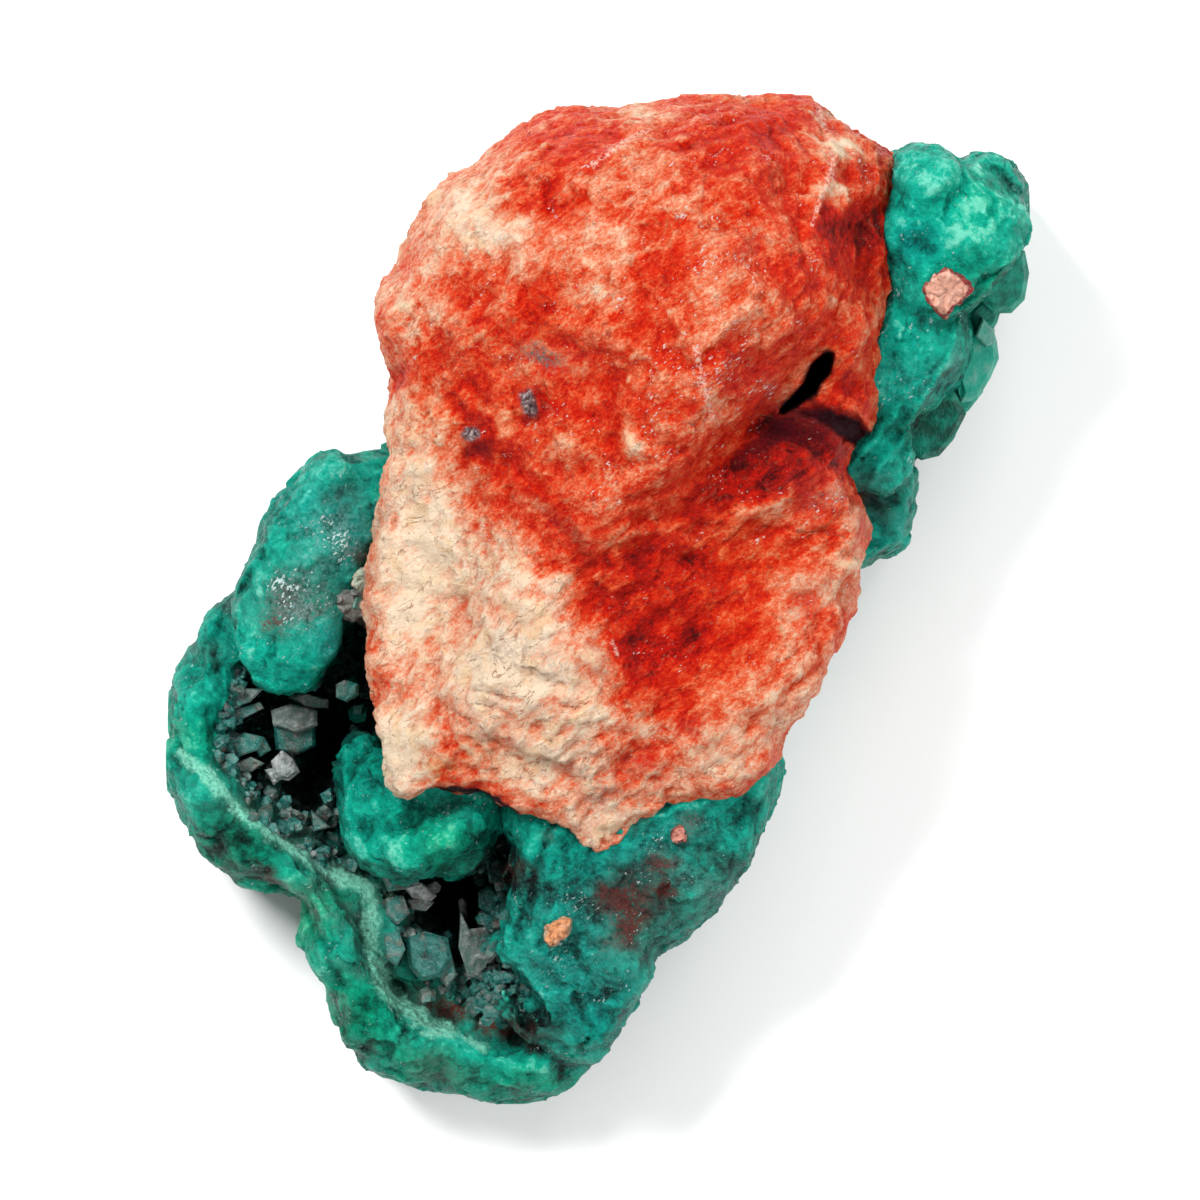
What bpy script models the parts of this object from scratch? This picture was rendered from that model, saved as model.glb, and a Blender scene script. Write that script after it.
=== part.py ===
"""Dioptase on matrix: a loose mineral specimen about 49 mm corner to corner.

A block of iron-stained, cream and red carbonate matrix lies on top. Green dioptase grew under it
and round its left, lower and right sides, as rounded lumps and walls with small crystals on their
flanks. Two hollows between the lumps are lined with crystals of their own. The specimen rests on
its flat broken underside: +Z is up, and the origin is on the table under the middle of its box.
Plan positions below are (x, y) in millimetres.
"""

import math
import random

import bmesh
import bpy
import numpy as np
from mathutils import Matrix, Vector

MM = 0.001
CLEARANCE = 0.46  # mm kept between two pieces that meet
SEED = 11

# Heights above the table, in millimetres
BASE_RIM = 3.2
BASE_LOW_TOP = 4.0  # round the two hollows, at the lower left
BASE_HIGH_TOP = 9.4  # round the matrix
MATRIX_FOOT = 3.9
MATRIX_RIM = 11.4
MATRIX_CROWN = 23.4

# The matrix seen from above, clockwise from its top
MATRIX_MIDDLE = (0.9, 5.9)
MATRIX_OUTLINE = [
    (-1.1, 22.3), (0.9, 22.1), (2.9, 22.3), (5.4, 22.8), (7.9, 22.6), (9.4, 22.5), (10.4, 21.6),
    (11.7, 21.1), (12.8, 20.2), (13.6, 19.9), (13.5, 17.6), (13.1, 15.3), (13.0, 13.5), (12.6, 11.9),
    (12.3, 10.3), (12.5, 9.0), (12.1, 7.6), (11.2, 6.8), (10.9, 5.8), (11.3, 4.6), (11.8, 3.6),
    (11.7, 2.0), (11.8, 0.4), (11.2, -1.8), (10.4, -2.8), (9.7, -4.5), (8.3, -6.1), (7.7, -7.3),
    (5.8, -8.8), (4.4, -9.0), (2.8, -9.7), (1.8, -10.2), (0.9, -11.1), (0.0, -11.3), (-1.1, -10.8),
    (-1.9, -9.9), (-2.9, -9.7), (-4.1, -9.1), (-5.4, -8.5), (-7.6, -8.6), (-8.3, -9.2), (-9.1, -9.0),
    (-9.9, -8.1), (-9.7, -6.8), (-10.0, -5.4), (-10.4, -4.0), (-10.6, -2.2), (-10.3, -1.6),
    (-10.4, 0.0), (-10.1, 2.7), (-9.9, 4.5), (-9.2, 6.5), (-9.5, 7.6), (-9.4, 9.0), (-9.5, 10.3),
    (-10.1, 12.2), (-10.3, 13.5), (-9.7, 14.4), (-9.0, 15.8), (-8.1, 17.6), (-7.2, 18.7),
    (-5.8, 19.6), (-4.5, 20.7), (-2.7, 21.8),
]
# Swellings and hollows of the matrix's top: x, y, half length, half width, turn in degrees, rise
MATRIX_RELIEF = [
    (4.6, 12.5, 7.0, 5.0, 60, 1.4),
    (-4.5, 12.0, 5.5, 4.5, 80, 0.9),
    (5.2, 0.6, 5.2, 3.6, 25, -2.3),
    (6.3, 7.2, 5.2, 1.9, 45, -2.2),
    (-2.4, -4.4, 3.8, 2.9, -20, 1.5),
    (-6.6, 1.2, 2.2, 5.0, -10, -0.9),
    (8.6, -2.4, 2.2, 3.6, -35, 1.0),
    (11.6, 15.6, 2.6, 4.6, 0, -1.2),
]
# Broken faces that cut the matrix's dome: a point of each, and its rise per millimetre in x and y
MATRIX_FACES = [
    (10.0, 15.0, 20.6, -1.05, -0.10),
    (-7.6, 1.0, 16.6, 0.52, 0.06),
    (3.0, 19.4, 21.6, 0.05, -0.75),
    (-6.0, 15.0, 20.2, 0.50, -0.22),
    (0.5, -8.0, 15.8, 0.02, 0.42),
    (7.8, -3.4, 16.4, -0.62, 0.30),
    (1.0, 6.0, 21.0, 0.16, 0.05),
    (-8.0, 8.8, 18.4, 0.75, 0.10),
]
EDGE_SOFTNESS = 0.35  # mm, how far the edges between those faces are worn round
# Ledges: two ends, the drop on the right-hand side, and how far the drop takes to die out
MATRIX_LEDGES = [
    ((1.8, 22.4), (0.0, 18.4), 0.7, 2.5),
    ((9.8, 20.8), (9.0, 13.4), 0.9, 3.0),
    ((-5.4, 0.9), (-5.7, -1.9), 0.8, 1.8),
    ((-4.4, -2.6), (-0.4, -3.8), 0.9, 1.6),
    ((-5.2, -5.4), (-1.0, -7.4), 0.7, 1.8),
    ((3.6, 8.4), (8.0, 12.6), 0.6, 2.2),
    ((-2.0, 12.4), (3.2, 9.6), 0.6, 2.6),
]
# The dark cleft in the matrix: x, y, half width, height of its deepest point
CLEFT = [(9.9, 10.9, 0.5, 16.8), (9.4, 9.4, 0.75, 15.6), (8.5, 7.9, 0.9, 15.2), (7.2, 6.7, 0.5, 16.8)]
CLEFT_SIDE = [(8.8, 7.6, 0.6, 15.6), (10.2, 7.5, 0.75, 14.6), (11.4, 6.9, 0.5, 14.0)]
CLEFT_TOP = 25.0

# The dioptase base, which holds the matrix and is broken off flat underneath
BASE_MIDDLE = (-1.0, 0.0)
BASE_OUTLINE = [
    (0.0, 20.4), (4.5, 20.9), (9.0, 20.7), (12.4, 19.2), (15.9, 18.0), (17.4, 16.2), (16.8, 13.3),
    (15.5, 10.2), (13.8, 7.2), (12.4, 3.6), (10.3, 0.0), (8.4, -4.0), (6.9, -7.6), (5.0, -12.0),
    (2.3, -15.6), (0.0, -19.0), (-2.7, -20.6), (-6.6, -20.0), (-9.8, -18.4), (-11.5, -15.8),
    (-13.0, -12.6), (-16.0, -10.4), (-17.1, -7.6), (-17.1, -4.5), (-15.4, -1.0), (-13.1, 2.6),
    (-10.4, 5.2), (-8.2, 8.3), (-8.5, 12.2), (-7.2, 16.0), (-3.9, 19.0),
]

# Rounded lumps of massive dioptase: middle, outline, low, widest and top heights, and the top's
# slope in x and y (rise per millimetre)
LUMPS = {
    "upper_left_knob": dict(
        middle=(-12.6, 2.2), low=1.2, rim=6.0, high=11.4, slope=(0.10, 0.0),
        outline=[
            (-9.0, 6.4), (-10.1, 6.8), (-11.0, 6.6), (-11.7, 6.3), (-12.2, 6.6), (-13.3, 6.3),
            (-13.9, 5.5), (-14.4, 4.4), (-15.1, 4.3), (-15.4, 3.3), (-15.4, 2.2), (-16.1, 1.1),
            (-16.4, -0.2), (-15.8, -1.8), (-13.5, -2.2), (-11.2, -0.9), (-9.6, 0.4), (-9.0, 3.4),
        ],
    ),
    "nose_over_the_hollow": dict(
        middle=(-13.8, -1.5), low=5.2, rim=9.0, high=13.2, slope=(0.0, 0.05),
        outline=[
            (-16.2, 0.0), (-15.2, 0.9), (-13.5, 1.1), (-11.7, 0.4), (-11.2, -0.7), (-11.6, -2.2),
            (-12.3, -3.4), (-13.4, -4.0), (-14.6, -4.0), (-15.8, -3.7), (-16.4, -2.8), (-16.5, -1.3),
        ],
    ),
    "lower_right_lobe": dict(
        middle=(1.0, -13.2), low=0.8, rim=5.6, high=13.2, slope=(-0.05, 0.42),
        outline=[
            (-4.5, -9.0), (-4.1, -11.2), (-4.6, -13.5), (-5.2, -15.3), (-5.4, -17.4), (-4.4, -18.9),
            (-3.1, -20.1), (-1.8, -20.9), (0.0, -21.0), (0.5, -19.7), (1.8, -18.0), (2.4, -16.0),
            (4.4, -14.7), (6.1, -12.6), (7.2, -10.8), (7.9, -9.0), (8.3, -7.6), (8.0, -6.8),
            (6.3, -5.8), (3.6, -6.1), (0.0, -7.4), (-2.7, -8.1),
        ],
    ),
    "right_top_knob": dict(
        middle=(15.8, 16.8), low=1.4, rim=8.5, high=16.6, slope=(-0.12, 0.0),
        outline=[
            (13.2, 20.1), (14.6, 20.4), (16.0, 19.9), (17.3, 20.2), (18.4, 19.6), (19.2, 18.2),
            (19.4, 16.6), (18.9, 15.2), (17.6, 14.2), (16.0, 13.4), (14.2, 13.4), (12.4, 14.4),
            (12.2, 16.6), (12.5, 18.6),
        ],
    ),
    "right_middle_lobe": dict(
        middle=(14.9, 10.8), low=1.2, rim=7.0, high=14.6, slope=(-0.25, 0.0),
        outline=[
            (12.0, 14.6), (14.8, 15.5), (17.3, 14.8), (18.1, 13.0), (17.3, 11.5), (16.9, 9.4),
            (16.0, 8.1), (15.1, 6.8), (13.7, 6.1), (12.3, 6.6), (11.6, 8.1), (11.6, 10.3),
            (11.6, 12.6),
        ],
    ),
    "right_small_knob": dict(
        middle=(12.3, 5.8), low=3.0, rim=9.6, high=14.2, slope=(0.0, 0.0),
        outline=[
            (10.9, 7.2), (12.2, 7.6), (13.5, 7.3), (14.1, 5.8), (13.4, 4.3), (12.2, 3.8),
            (11.2, 4.4), (10.7, 5.8),
        ],
    ),
    "right_lower_sheet": dict(
        middle=(12.9, 4.0), low=1.0, rim=5.5, high=11.0, slope=(0.0, 0.2),
        outline=[
            (14.3, 6.6), (14.3, 4.5), (13.7, 2.7), (12.6, 2.2), (11.9, 0.4), (11.0, 1.2),
            (10.9, 3.6), (11.6, 5.4), (13.0, 6.8),
        ],
    ),
}
# Walls of massive dioptase, as points along their middle line: x, y, half width, low, widest and
# top heights
WALLS = {
    "outer_wall": [
        (-15.2, 0.4, 1.1, 2.0, 5.5, 8.6), (-17.0, -1.8, 1.4, 1.2, 5.5, 9.2),
        (-17.9, -4.5, 1.5, 1.0, 5.5, 9.6), (-18.0, -7.2, 1.5, 0.9, 5.5, 9.8),
        (-17.2, -9.7, 1.8, 0.8, 5.3, 9.6), (-15.5, -11.2, 1.8, 0.8, 5.0, 9.0),
        (-13.4, -13.0, 1.2, 0.9, 4.6, 8.4), (-12.1, -15.5, 1.6, 0.8, 4.6, 8.2),
        (-11.0, -18.0, 1.6, 0.8, 4.6, 8.0), (-9.4, -19.7, 1.8, 0.7, 4.5, 7.8),
        (-6.8, -20.7, 1.6, 0.7, 4.3, 7.4), (-3.8, -21.3, 1.6, 0.7, 4.2, 7.2),
        (-1.3, -20.7, 1.7, 0.8, 4.2, 7.4), (0.1, -19.2, 1.3, 1.0, 4.2, 7.6),
    ],
    "bench_inside_the_wall": [
        (-15.4, -8.6, 1.2, 1.0, 3.4, 6.6), (-13.9, -11.0, 1.6, 1.0, 3.4, 6.4),
        (-11.2, -13.4, 1.7, 1.0, 3.4, 6.2), (-8.3, -16.0, 1.7, 1.0, 3.2, 5.8),
        (-6.0, -18.7, 1.7, 1.0, 3.2, 5.8), (-3.6, -19.7, 1.4, 1.0, 3.2, 6.4),
    ],
    "curled_lobe": [
        (-10.5, -6.0, 0.8, 4.6, 7.5, 10.0), (-10.9, -7.9, 1.0, 4.4, 7.8, 10.8),
        (-10.2, -9.8, 1.5, 4.2, 8.2, 11.8), (-8.8, -10.7, 1.8, 4.0, 8.6, 12.6),
        (-7.2, -10.5, 2.0, 4.0, 8.8, 13.2), (-5.6, -9.8, 1.6, 4.2, 8.6, 12.8),
        (-4.2, -9.0, 1.2, 4.4, 8.4, 12.2),
    ],
}
# Single blocky crystals on the right edge: foot x, y, z, heading, climb, radius, length
EDGE_CRYSTALS = [
    (16.3, 13.0, 9.5, 8, -12, 1.35, 3.0), (16.0, 10.3, 9.0, 2, -6, 1.25, 2.5),
    (15.5, 8.6, 7.5, -18, -14, 1.2, 2.3), (14.0, 6.8, 8.5, -28, 2, 1.25, 2.6),
    (16.5, 17.6, 7.0, 30, -20, 1.3, 2.9), (13.0, 4.0, 5.5, -12, -10, 0.95, 1.9),
]
FLANK_CRYSTALS = 76  # small crystals round the flanks and under the overhang
RHOMB_SLOPE = 1.233  # fall of a dioptase end face per unit of width, 51 degrees

# The hollows between the lumps, and the crystal crusts on their floors
HOLLOWS = {
    "left_hollow_crystals": dict(
        middle=(-12.5, -8.0), crystals=16, radius=(0.4, 0.75),
        outline=[
            (-15.4, -5.4), (-13.6, -4.4), (-11.3, -4.2), (-11.0, -6.4), (-11.4, -8.4),
            (-10.6, -10.6), (-11.3, -11.2), (-13.4, -9.4), (-15.0, -7.4),
        ],
    ),
    "lower_hollow_crystals": dict(
        middle=(-6.6, -14.0), crystals=10, radius=(0.35, 0.6),
        outline=[
            (-8.6, -12.9), (-6.4, -12.2), (-5.7, -13.4), (-6.0, -15.2), (-6.5, -16.3),
            (-7.9, -14.7), (-8.9, -13.7),
        ],
    ),
}
HOLLOW_FLOOR = 3.0
HOLLOW_WIDEST = 4.4
HOLLOW_ROOF = 8.4
CRUST_RISE = 1.0  # thickness of a crust without its crystals

WALL_ROUGHNESS = 0.28  # mm, how uneven the walls and lumps are
COLOURS = {
    "matrix": ((0.62, 0.17, 0.07), 0.62),
    "dioptase": ((0.0, 0.26, 0.19), 0.28),
    "hollow crystals": ((0.012, 0.06, 0.05), 0.18),
}


def material(name):
    colour, roughness = COLOURS[name]
    made = bpy.data.materials.new(name)
    made.use_nodes = True
    shader = made.node_tree.nodes["Principled BSDF"]
    shader.inputs["Base Color"].default_value = (*colour, 1)
    shader.inputs["Roughness"].default_value = roughness
    shader.inputs["Metallic"].default_value = 0
    made.diffuse_color = (*colour, 1)
    return made


def solid_from_rings(name, rings, first_pole, last_pole):
    """A closed object from rings of points, with a fan of faces to a pole at each end."""
    count, columns, _ = rings.shape
    points = [first_pole, *rings.reshape(-1, 3), last_pole]
    faces = []
    for column in range(columns):
        after = (column + 1) % columns
        faces.append((0, 1 + after, 1 + column))
        for ring in range(count - 1):
            here = 1 + ring * columns
            above = here + columns
            faces.append((here + column, here + after, above + after, above + column))
        top = 1 + (count - 1) * columns
        faces.append((top + column, top + after, len(points) - 1))
    mesh = bpy.data.meshes.new(name)
    mesh.from_pydata([Vector(point) * MM for point in points], [], faces)
    mesh.validate()
    made = bpy.data.objects.new(name, mesh)
    bpy.context.scene.collection.objects.link(made)
    turn_faces_out(made)
    return made


def turn_faces_out(made):
    shape = bmesh.new()
    shape.from_mesh(made.data)
    bmesh.ops.recalc_face_normals(shape, faces=shape.faces)
    shape.to_mesh(made.data)
    shape.free()


def radius_round(outline, middle, angles):
    """Distance from the middle to a closed outline, in the direction of each angle."""
    offsets = np.array(outline) - np.array(middle)
    turned = np.arctan2(offsets[:, 1], offsets[:, 0])
    order = np.argsort(turned)
    return np.interp(angles, turned[order], np.hypot(*offsets.T)[order], period=2 * math.pi)


def calmed(reach, waves=3):
    """The same closed outline with only its broadest waves left."""
    spectrum = np.fft.rfft(reach)
    spectrum[waves + 1:] = 0
    return np.fft.irfft(spectrum, len(reach))


def unevenness(x, y, z):
    """A smooth wandering pattern between about -1 and 1, with swells 3 to 6 mm apart."""
    first = np.sin(1.9 * x + 1.4 * np.sin(1.3 * y + 0.7 * z))
    second = np.sin(1.6 * y + 1.2 * np.sin(1.1 * z + 1.5 * x) + 2.0)
    third = np.sin(1.2 * z + 1.3 * np.sin(1.4 * x - 1.2 * y) + 4.0)
    return (first + second + third) / 2.2


def domed_body(name, outline, middle, low, rim, high, grid, inset=0, rough=0, shape=None):
    """A closed body as wide as its outline, less the inset, at the height rim. Its side rounds off
    to a pole at the top and at the bottom, where the outline's small bays fade out. low, rim and
    high are functions of plan position. grid is the number of columns, and of rows of faces below
    and above the rim. shape changes the heights of the finished grid."""
    columns, below, above = grid
    angles = np.arange(columns) * 2 * math.pi / columns
    lift = np.append(np.linspace(-90, 0, below + 1)[1:], np.linspace(0, 90, above + 1)[1:-1])
    lift = np.radians(lift)[:, None]
    share = np.cos(lift) ** 0.72
    rise = np.abs(np.sin(lift)) ** 0.9
    edge = radius_round(outline, middle, angles) - inset
    calm = calmed(edge)
    reach = share * (calm + (edge - calm) * share**4)
    x = middle[0] + reach * np.cos(angles)
    y = middle[1] + reach * np.sin(angles)
    z = rim(x, y) + rise * np.where(lift > 0, high(x, y) - rim(x, y), low(x, y) - rim(x, y))
    swell = rough * (1 - share**8) * unevenness(x, y, z)
    x, y, z = x + swell * np.cos(angles), y + swell * np.sin(angles), z + swell * np.sin(lift)
    top = np.array(high(*middle), dtype=float)
    if shape:
        z = np.where(lift > 0, shape(x, y, z), z)
        top = shape(*np.array(middle), top)
    return solid_from_rings(name, np.stack([x, y, z], axis=2), (*middle, low(*middle)), (*middle, top))


def plane(height, slope, middle):
    """The height of a tilted plane that passes through the middle at the given height."""
    return lambda x, y: height + slope[0] * (x - middle[0]) + slope[1] * (y - middle[1]) + 0 * x


def level(height):
    """A height that is the same everywhere."""
    return plane(height, (0, 0), (0, 0))


def smooth_path(points, stations):
    """Points on a Catmull-Rom curve through the given points, evenly spread over its spans."""
    given = np.array(points)
    padded = np.vstack([2 * given[0] - given[1], given, 2 * given[-1] - given[-2]])
    place = np.linspace(0, len(given) - 1, stations)
    span = np.minimum(place.astype(int), len(given) - 2)
    t = (place - span)[:, None]
    a, b, c, d = (padded[span + step] for step in range(4))
    return 0.5 * (2 * b + (c - a) * t + (2 * a - 5 * b + 4 * c - d) * t**2 + (3 * b - a - 3 * c + d) * t**3)


def swept_wall(name, points, stations, columns):
    """A closed body whose oval cross-section runs along a path and rounds off at its two ends."""
    path = smooth_path(points, stations)
    along = np.gradient(path[:, :2], axis=0)
    along /= np.linalg.norm(along, axis=1)[:, None]
    side = np.stack([along[:, 1], -along[:, 0]], axis=1)
    half, low, rim, high = (path[:, i] for i in range(2, 6))
    shrink = np.ones(stations)
    shrink[[0, -1]] = 0.62
    shrink[[1, -2]] = 0.92
    turn = np.arange(columns) * 2 * math.pi / columns
    reach = (half * shrink)[:, None] * np.cos(turn)
    span = np.where(np.sin(turn) > 0, (high - rim)[:, None], (rim - low)[:, None])
    z = rim[:, None] + shrink[:, None] * span * np.sin(turn)
    plan = path[:, None, :2] + reach[:, :, None] * side[:, None, :]
    swell = WALL_ROUGHNESS * unevenness(plan[:, :, 0], plan[:, :, 1], z)
    plan = plan + (swell * np.cos(turn))[:, :, None] * side[:, None, :]
    z = z + swell * np.sin(turn)
    ends = [
        (*(path[i, :2] + sign * 0.6 * half[i] * along[i]), rim[i]) for i, sign in ((0, -1), (-1, 1))
    ]
    return solid_from_rings(name, np.dstack([plan, z]), *ends)


def crystal(name, foot, heading, climb, radius, length):
    """A six-sided prism that ends in three rhombohedral faces, pointing along heading and climb."""
    corners = [(radius * math.cos(a), radius * math.sin(a)) for a in np.radians(range(0, 360, 60))]
    points = [(x, y, 0) for x, y in corners]
    for number, (x, y) in enumerate(corners):
        share = 1.0 if number % 2 == 0 else 0.5
        points.append((x, y, length - share * RHOMB_SLOPE * radius))
    points.append((0, 0, length))
    faces = [tuple(range(5, -1, -1))]
    faces += [(k, (k + 1) % 6, 6 + (k + 1) % 6, 6 + k) for k in range(6)]
    faces += [(12, 6 + (k - 1) % 6, 6 + k, 6 + (k + 1) % 6) for k in (0, 2, 4)]
    mesh = bpy.data.meshes.new(name)
    mesh.from_pydata([Vector(point) * MM for point in points], [], faces)
    made = bpy.data.objects.new(name, mesh)
    turned = Matrix.Rotation(math.radians(heading), 4, "Z") @ Matrix.Rotation(math.radians(90 - climb), 4, "Y")
    mesh.transform(Matrix.Translation(Vector(foot) * MM) @ turned)
    bpy.context.scene.collection.objects.link(made)
    turn_faces_out(made)
    return made


def apply_modifiers(made):
    """Gives the object the mesh that its modifiers make, and removes them."""
    evaluated = made.evaluated_get(bpy.context.evaluated_depsgraph_get())
    made.data = bpy.data.meshes.new_from_object(evaluated)
    made.modifiers.clear()


def keep_largest_shell(shape):
    """Removes loose crumbs, and fills pockets that are sealed inside, by deleting their faces."""
    unseen = set(shape.verts)
    shells = []
    while unseen:
        shell = {unseen.pop()}
        edge_of_shell = list(shell)
        while edge_of_shell:
            corner = edge_of_shell.pop()
            fresh = [edge.other_vert(corner) for edge in corner.link_edges]
            fresh = [other for other in fresh if other not in shell]
            shell.update(fresh)
            edge_of_shell += fresh
        unseen -= shell
        shells.append(shell)
    shells.sort(key=len)
    for shell in shells[:-1]:
        bmesh.ops.delete(shape, geom=list(shell), context="VERTS")


def combine(target, others, operation):
    """Joins the other solids to the target, or cuts them out of it, and removes them."""
    group = bpy.data.collections.new("helpers")
    bpy.context.scene.collection.children.link(group)
    for other in others:
        group.objects.link(other)
    step = target.modifiers.new(operation.lower(), "BOOLEAN")
    step.operation = operation
    step.solver = "EXACT"
    step.operand_type = "COLLECTION"
    step.collection = group
    bpy.context.view_layer.update()
    apply_modifiers(target)
    for other in others:
        bpy.data.objects.remove(other)
    bpy.data.collections.remove(group)
    shape = bmesh.new()
    shape.from_mesh(target.data)
    bmesh.ops.remove_doubles(shape, verts=shape.verts, dist=0.001 * MM)
    keep_largest_shell(shape)
    shape.to_mesh(target.data)
    shape.free()
    return target


def grown(source, distance):
    """A copy of a solid with its surface moved outwards by the distance, in millimetres."""
    copy = bpy.data.objects.new(source.name + "_grown", source.data.copy())
    bpy.context.scene.collection.objects.link(copy)
    outwards = [corner.normal.copy() for corner in copy.data.vertices]
    for corner, normal in zip(copy.data.vertices, outwards):
        corner.co += normal * distance * MM
    return copy


def lower_of(first, second):
    """The lower of two heights, with the edge between them worn round."""
    apart = np.sqrt((first - second) ** 2 + 4 * EDGE_SOFTNESS**2)
    return (first + second - apart) / 2


def matrix_surface(x, y, z):
    """The height of the matrix's top: its dome, cut by broken faces, with swellings and ledges."""
    for face_x, face_y, height, slope_x, slope_y in MATRIX_FACES:
        z = lower_of(z, height + slope_x * (x - face_x) + slope_y * (y - face_y))
    inland = np.clip((z - MATRIX_RIM) / 3, 0, 1)
    for middle_x, middle_y, length, width, turn, rise in MATRIX_RELIEF:
        c, s = math.cos(math.radians(turn)), math.sin(math.radians(turn))
        along = (x - middle_x) * c + (y - middle_y) * s
        across = (y - middle_y) * c - (x - middle_x) * s
        z = z + inland * rise * np.exp(-((along / length) ** 2) - (across / width) ** 2)
    for start, end, drop, reach in MATRIX_LEDGES:
        length = math.dist(start, end)
        run = ((end[0] - start[0]) / length, (end[1] - start[1]) / length)
        along = ((x - start[0]) * run[0] + (y - start[1]) * run[1]) / length
        right = (x - start[0]) * run[1] - (y - start[1]) * run[0]
        within = np.clip(1.5 - 3 * np.abs(along - 0.5), 0, 1)
        z = z - inland * drop * within * np.clip(right / 0.4, 0, 1) * np.exp(-np.maximum(right, 0) / reach)
    return z


def cleft_cutter(name, points):
    """A deep narrow wedge that opens upwards."""
    path = [(x, y, half, floor, floor + 4, CLEFT_TOP) for x, y, half, floor in points]
    return swept_wall(name, path, 7, 8)


def make_matrix():
    """The rock that the dioptase grew on: a domed block with an uneven top and a dark cleft."""
    return domed_body(
        "matrix", MATRIX_OUTLINE, MATRIX_MIDDLE, low=level(MATRIX_FOOT),
        rim=plane(MATRIX_RIM, (0, -0.09), MATRIX_MIDDLE),
        high=plane(MATRIX_CROWN, (0, 0.10), MATRIX_MIDDLE), grid=(66, 6, 12), rough=0.4, shape=matrix_surface,
    )


def base_top(x, y):
    """The top of the base: high round the matrix, and low round the hollows at the lower left."""
    share = 1 / (1 + np.exp(-(0.6 * x + y - 0.5) / 1.6))
    return BASE_LOW_TOP + (BASE_HIGH_TOP - BASE_LOW_TOP) * share


def make_dioptase(matrix_room):
    """The base, lumps and walls in one solid, hollowed where the matrix sits, with its crystals."""
    base = domed_body(
        "dioptase_crust", BASE_OUTLINE, BASE_MIDDLE, low=level(-4.0), rim=level(BASE_RIM),
        high=base_top, grid=(40, 4, 5), rough=0.3,
    )
    parts = []
    for name, lump in LUMPS.items():
        parts.append(domed_body(
            name, lump["outline"], lump["middle"], low=level(lump["low"]), rim=level(lump["rim"]),
            high=plane(lump["high"], lump["slope"], lump["middle"]), grid=(18, 4, 5),
            rough=2 * WALL_ROUGHNESS,
        ))
    for name, points in WALLS.items():
        parts.append(swept_wall(name, points, 2 * len(points) + 1, 10))
    combine(base, parts + flank_crystals(), "UNION")
    hollows = [make_hollow(name, **hollow) for name, hollow in HOLLOWS.items()]
    combine(base, [matrix_room, ground(), *hollows], "DIFFERENCE")
    return base


def flank_crystals():
    """Blocky crystals on the right edge, and small ones round the foot of the specimen."""
    made = [
        crystal(f"edge_{number}", foot[:3], *foot[3:]) for number, foot in enumerate(EDGE_CRYSTALS)
    ]
    dice = random.Random(SEED)
    for number in range(FLANK_CRYSTALS):
        angle = 2 * math.pi * (number + dice.uniform(-0.6, 0.6)) / FLANK_CRYSTALS
        height = dice.uniform(1.6, 6.4)
        reach = float(radius_round(BASE_OUTLINE, BASE_MIDDLE, np.array([angle]))[0])
        reach -= 1.2 + 0.3 * max(height - BASE_RIM, 0)
        foot = (BASE_MIDDLE[0] + reach * math.cos(angle), BASE_MIDDLE[1] + reach * math.sin(angle), height)
        radius = dice.uniform(0.5, 1.15)
        made.append(crystal(
            f"flank_{number}", foot, math.degrees(angle) + dice.uniform(-40, 40),
            dice.uniform(-10, 35), radius, 1.2 + 1.1 * radius,
        ))
    return made


def ground():
    """Everything below the table, which the flat broken underside is cut with."""
    mesh = bpy.data.meshes.new("ground")
    shape = bmesh.new()
    bmesh.ops.create_cube(shape, size=1)
    bmesh.ops.scale(shape, vec=(80 * MM, 80 * MM, 20 * MM), verts=shape.verts)
    bmesh.ops.translate(shape, vec=(0, 0, -10 * MM), verts=shape.verts)
    shape.to_mesh(mesh)
    shape.free()
    made = bpy.data.objects.new("ground", mesh)
    bpy.context.scene.collection.objects.link(made)
    return made


def make_hollow(name, middle, outline, **_):
    """The room of one hollow, which is cut out of the dioptase."""
    return domed_body(
        name + "_room", outline, middle,
        low=level(HOLLOW_FLOOR), rim=level(HOLLOW_WIDEST), high=level(HOLLOW_ROOF),
        grid=(18, 4, 4),
    )


def make_druse(name, middle, outline, crystals, radius):
    """A thin crust with crystals standing on it, on the floor of a hollow."""
    low = HOLLOW_FLOOR + CLEARANCE
    crust = domed_body(
        name, outline, middle,
        low=level(low), rim=level(low + 0.5 * CRUST_RISE), high=level(low + CRUST_RISE),
        grid=(16, 2, 2), inset=1.3 * CLEARANCE,
    )
    dice = random.Random(SEED + crystals)
    standing = []
    for number in range(crystals):
        angle = 2 * math.pi * number / crystals
        reach = float(radius_round(outline, middle, np.array([angle]))[0]) * dice.uniform(0.1, 0.5)
        foot = (middle[0] + reach * math.cos(angle), middle[1] + reach * math.sin(angle), low + 0.4)
        width = dice.uniform(*radius)
        standing.append(crystal(
            f"{name}_{number}", foot, dice.uniform(0, 360), dice.uniform(66, 88),
            width, 0.8 + width * dice.uniform(1.2, 1.8),
        ))
    return combine(crust, standing, "UNION")


def main():
    for old in list(bpy.data.objects):
        bpy.data.objects.remove(old)
    matrix = make_matrix()
    dioptase = make_dioptase(grown(matrix, CLEARANCE))
    combine(matrix, [cleft_cutter("cleft", CLEFT), cleft_cutter("side", CLEFT_SIDE)], "DIFFERENCE")
    druses = [make_druse(name, **hollow) for name, hollow in HOLLOWS.items()]
    matrix.data.materials.append(material("matrix"))
    dioptase.data.materials.append(material("dioptase"))
    hollow = material("hollow crystals")
    for druse in druses:
        druse.data.materials.append(hollow)


main()
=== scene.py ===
"""Dioptase on matrix, a loose mineral specimen that lies on its flat broken underside.

Lengths are in millimetres until a mesh is written, and plan positions are (x, y) in the frame's
own axes. The specimen is seen from straight above, with +Y up in the picture.
"""

import math

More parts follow.
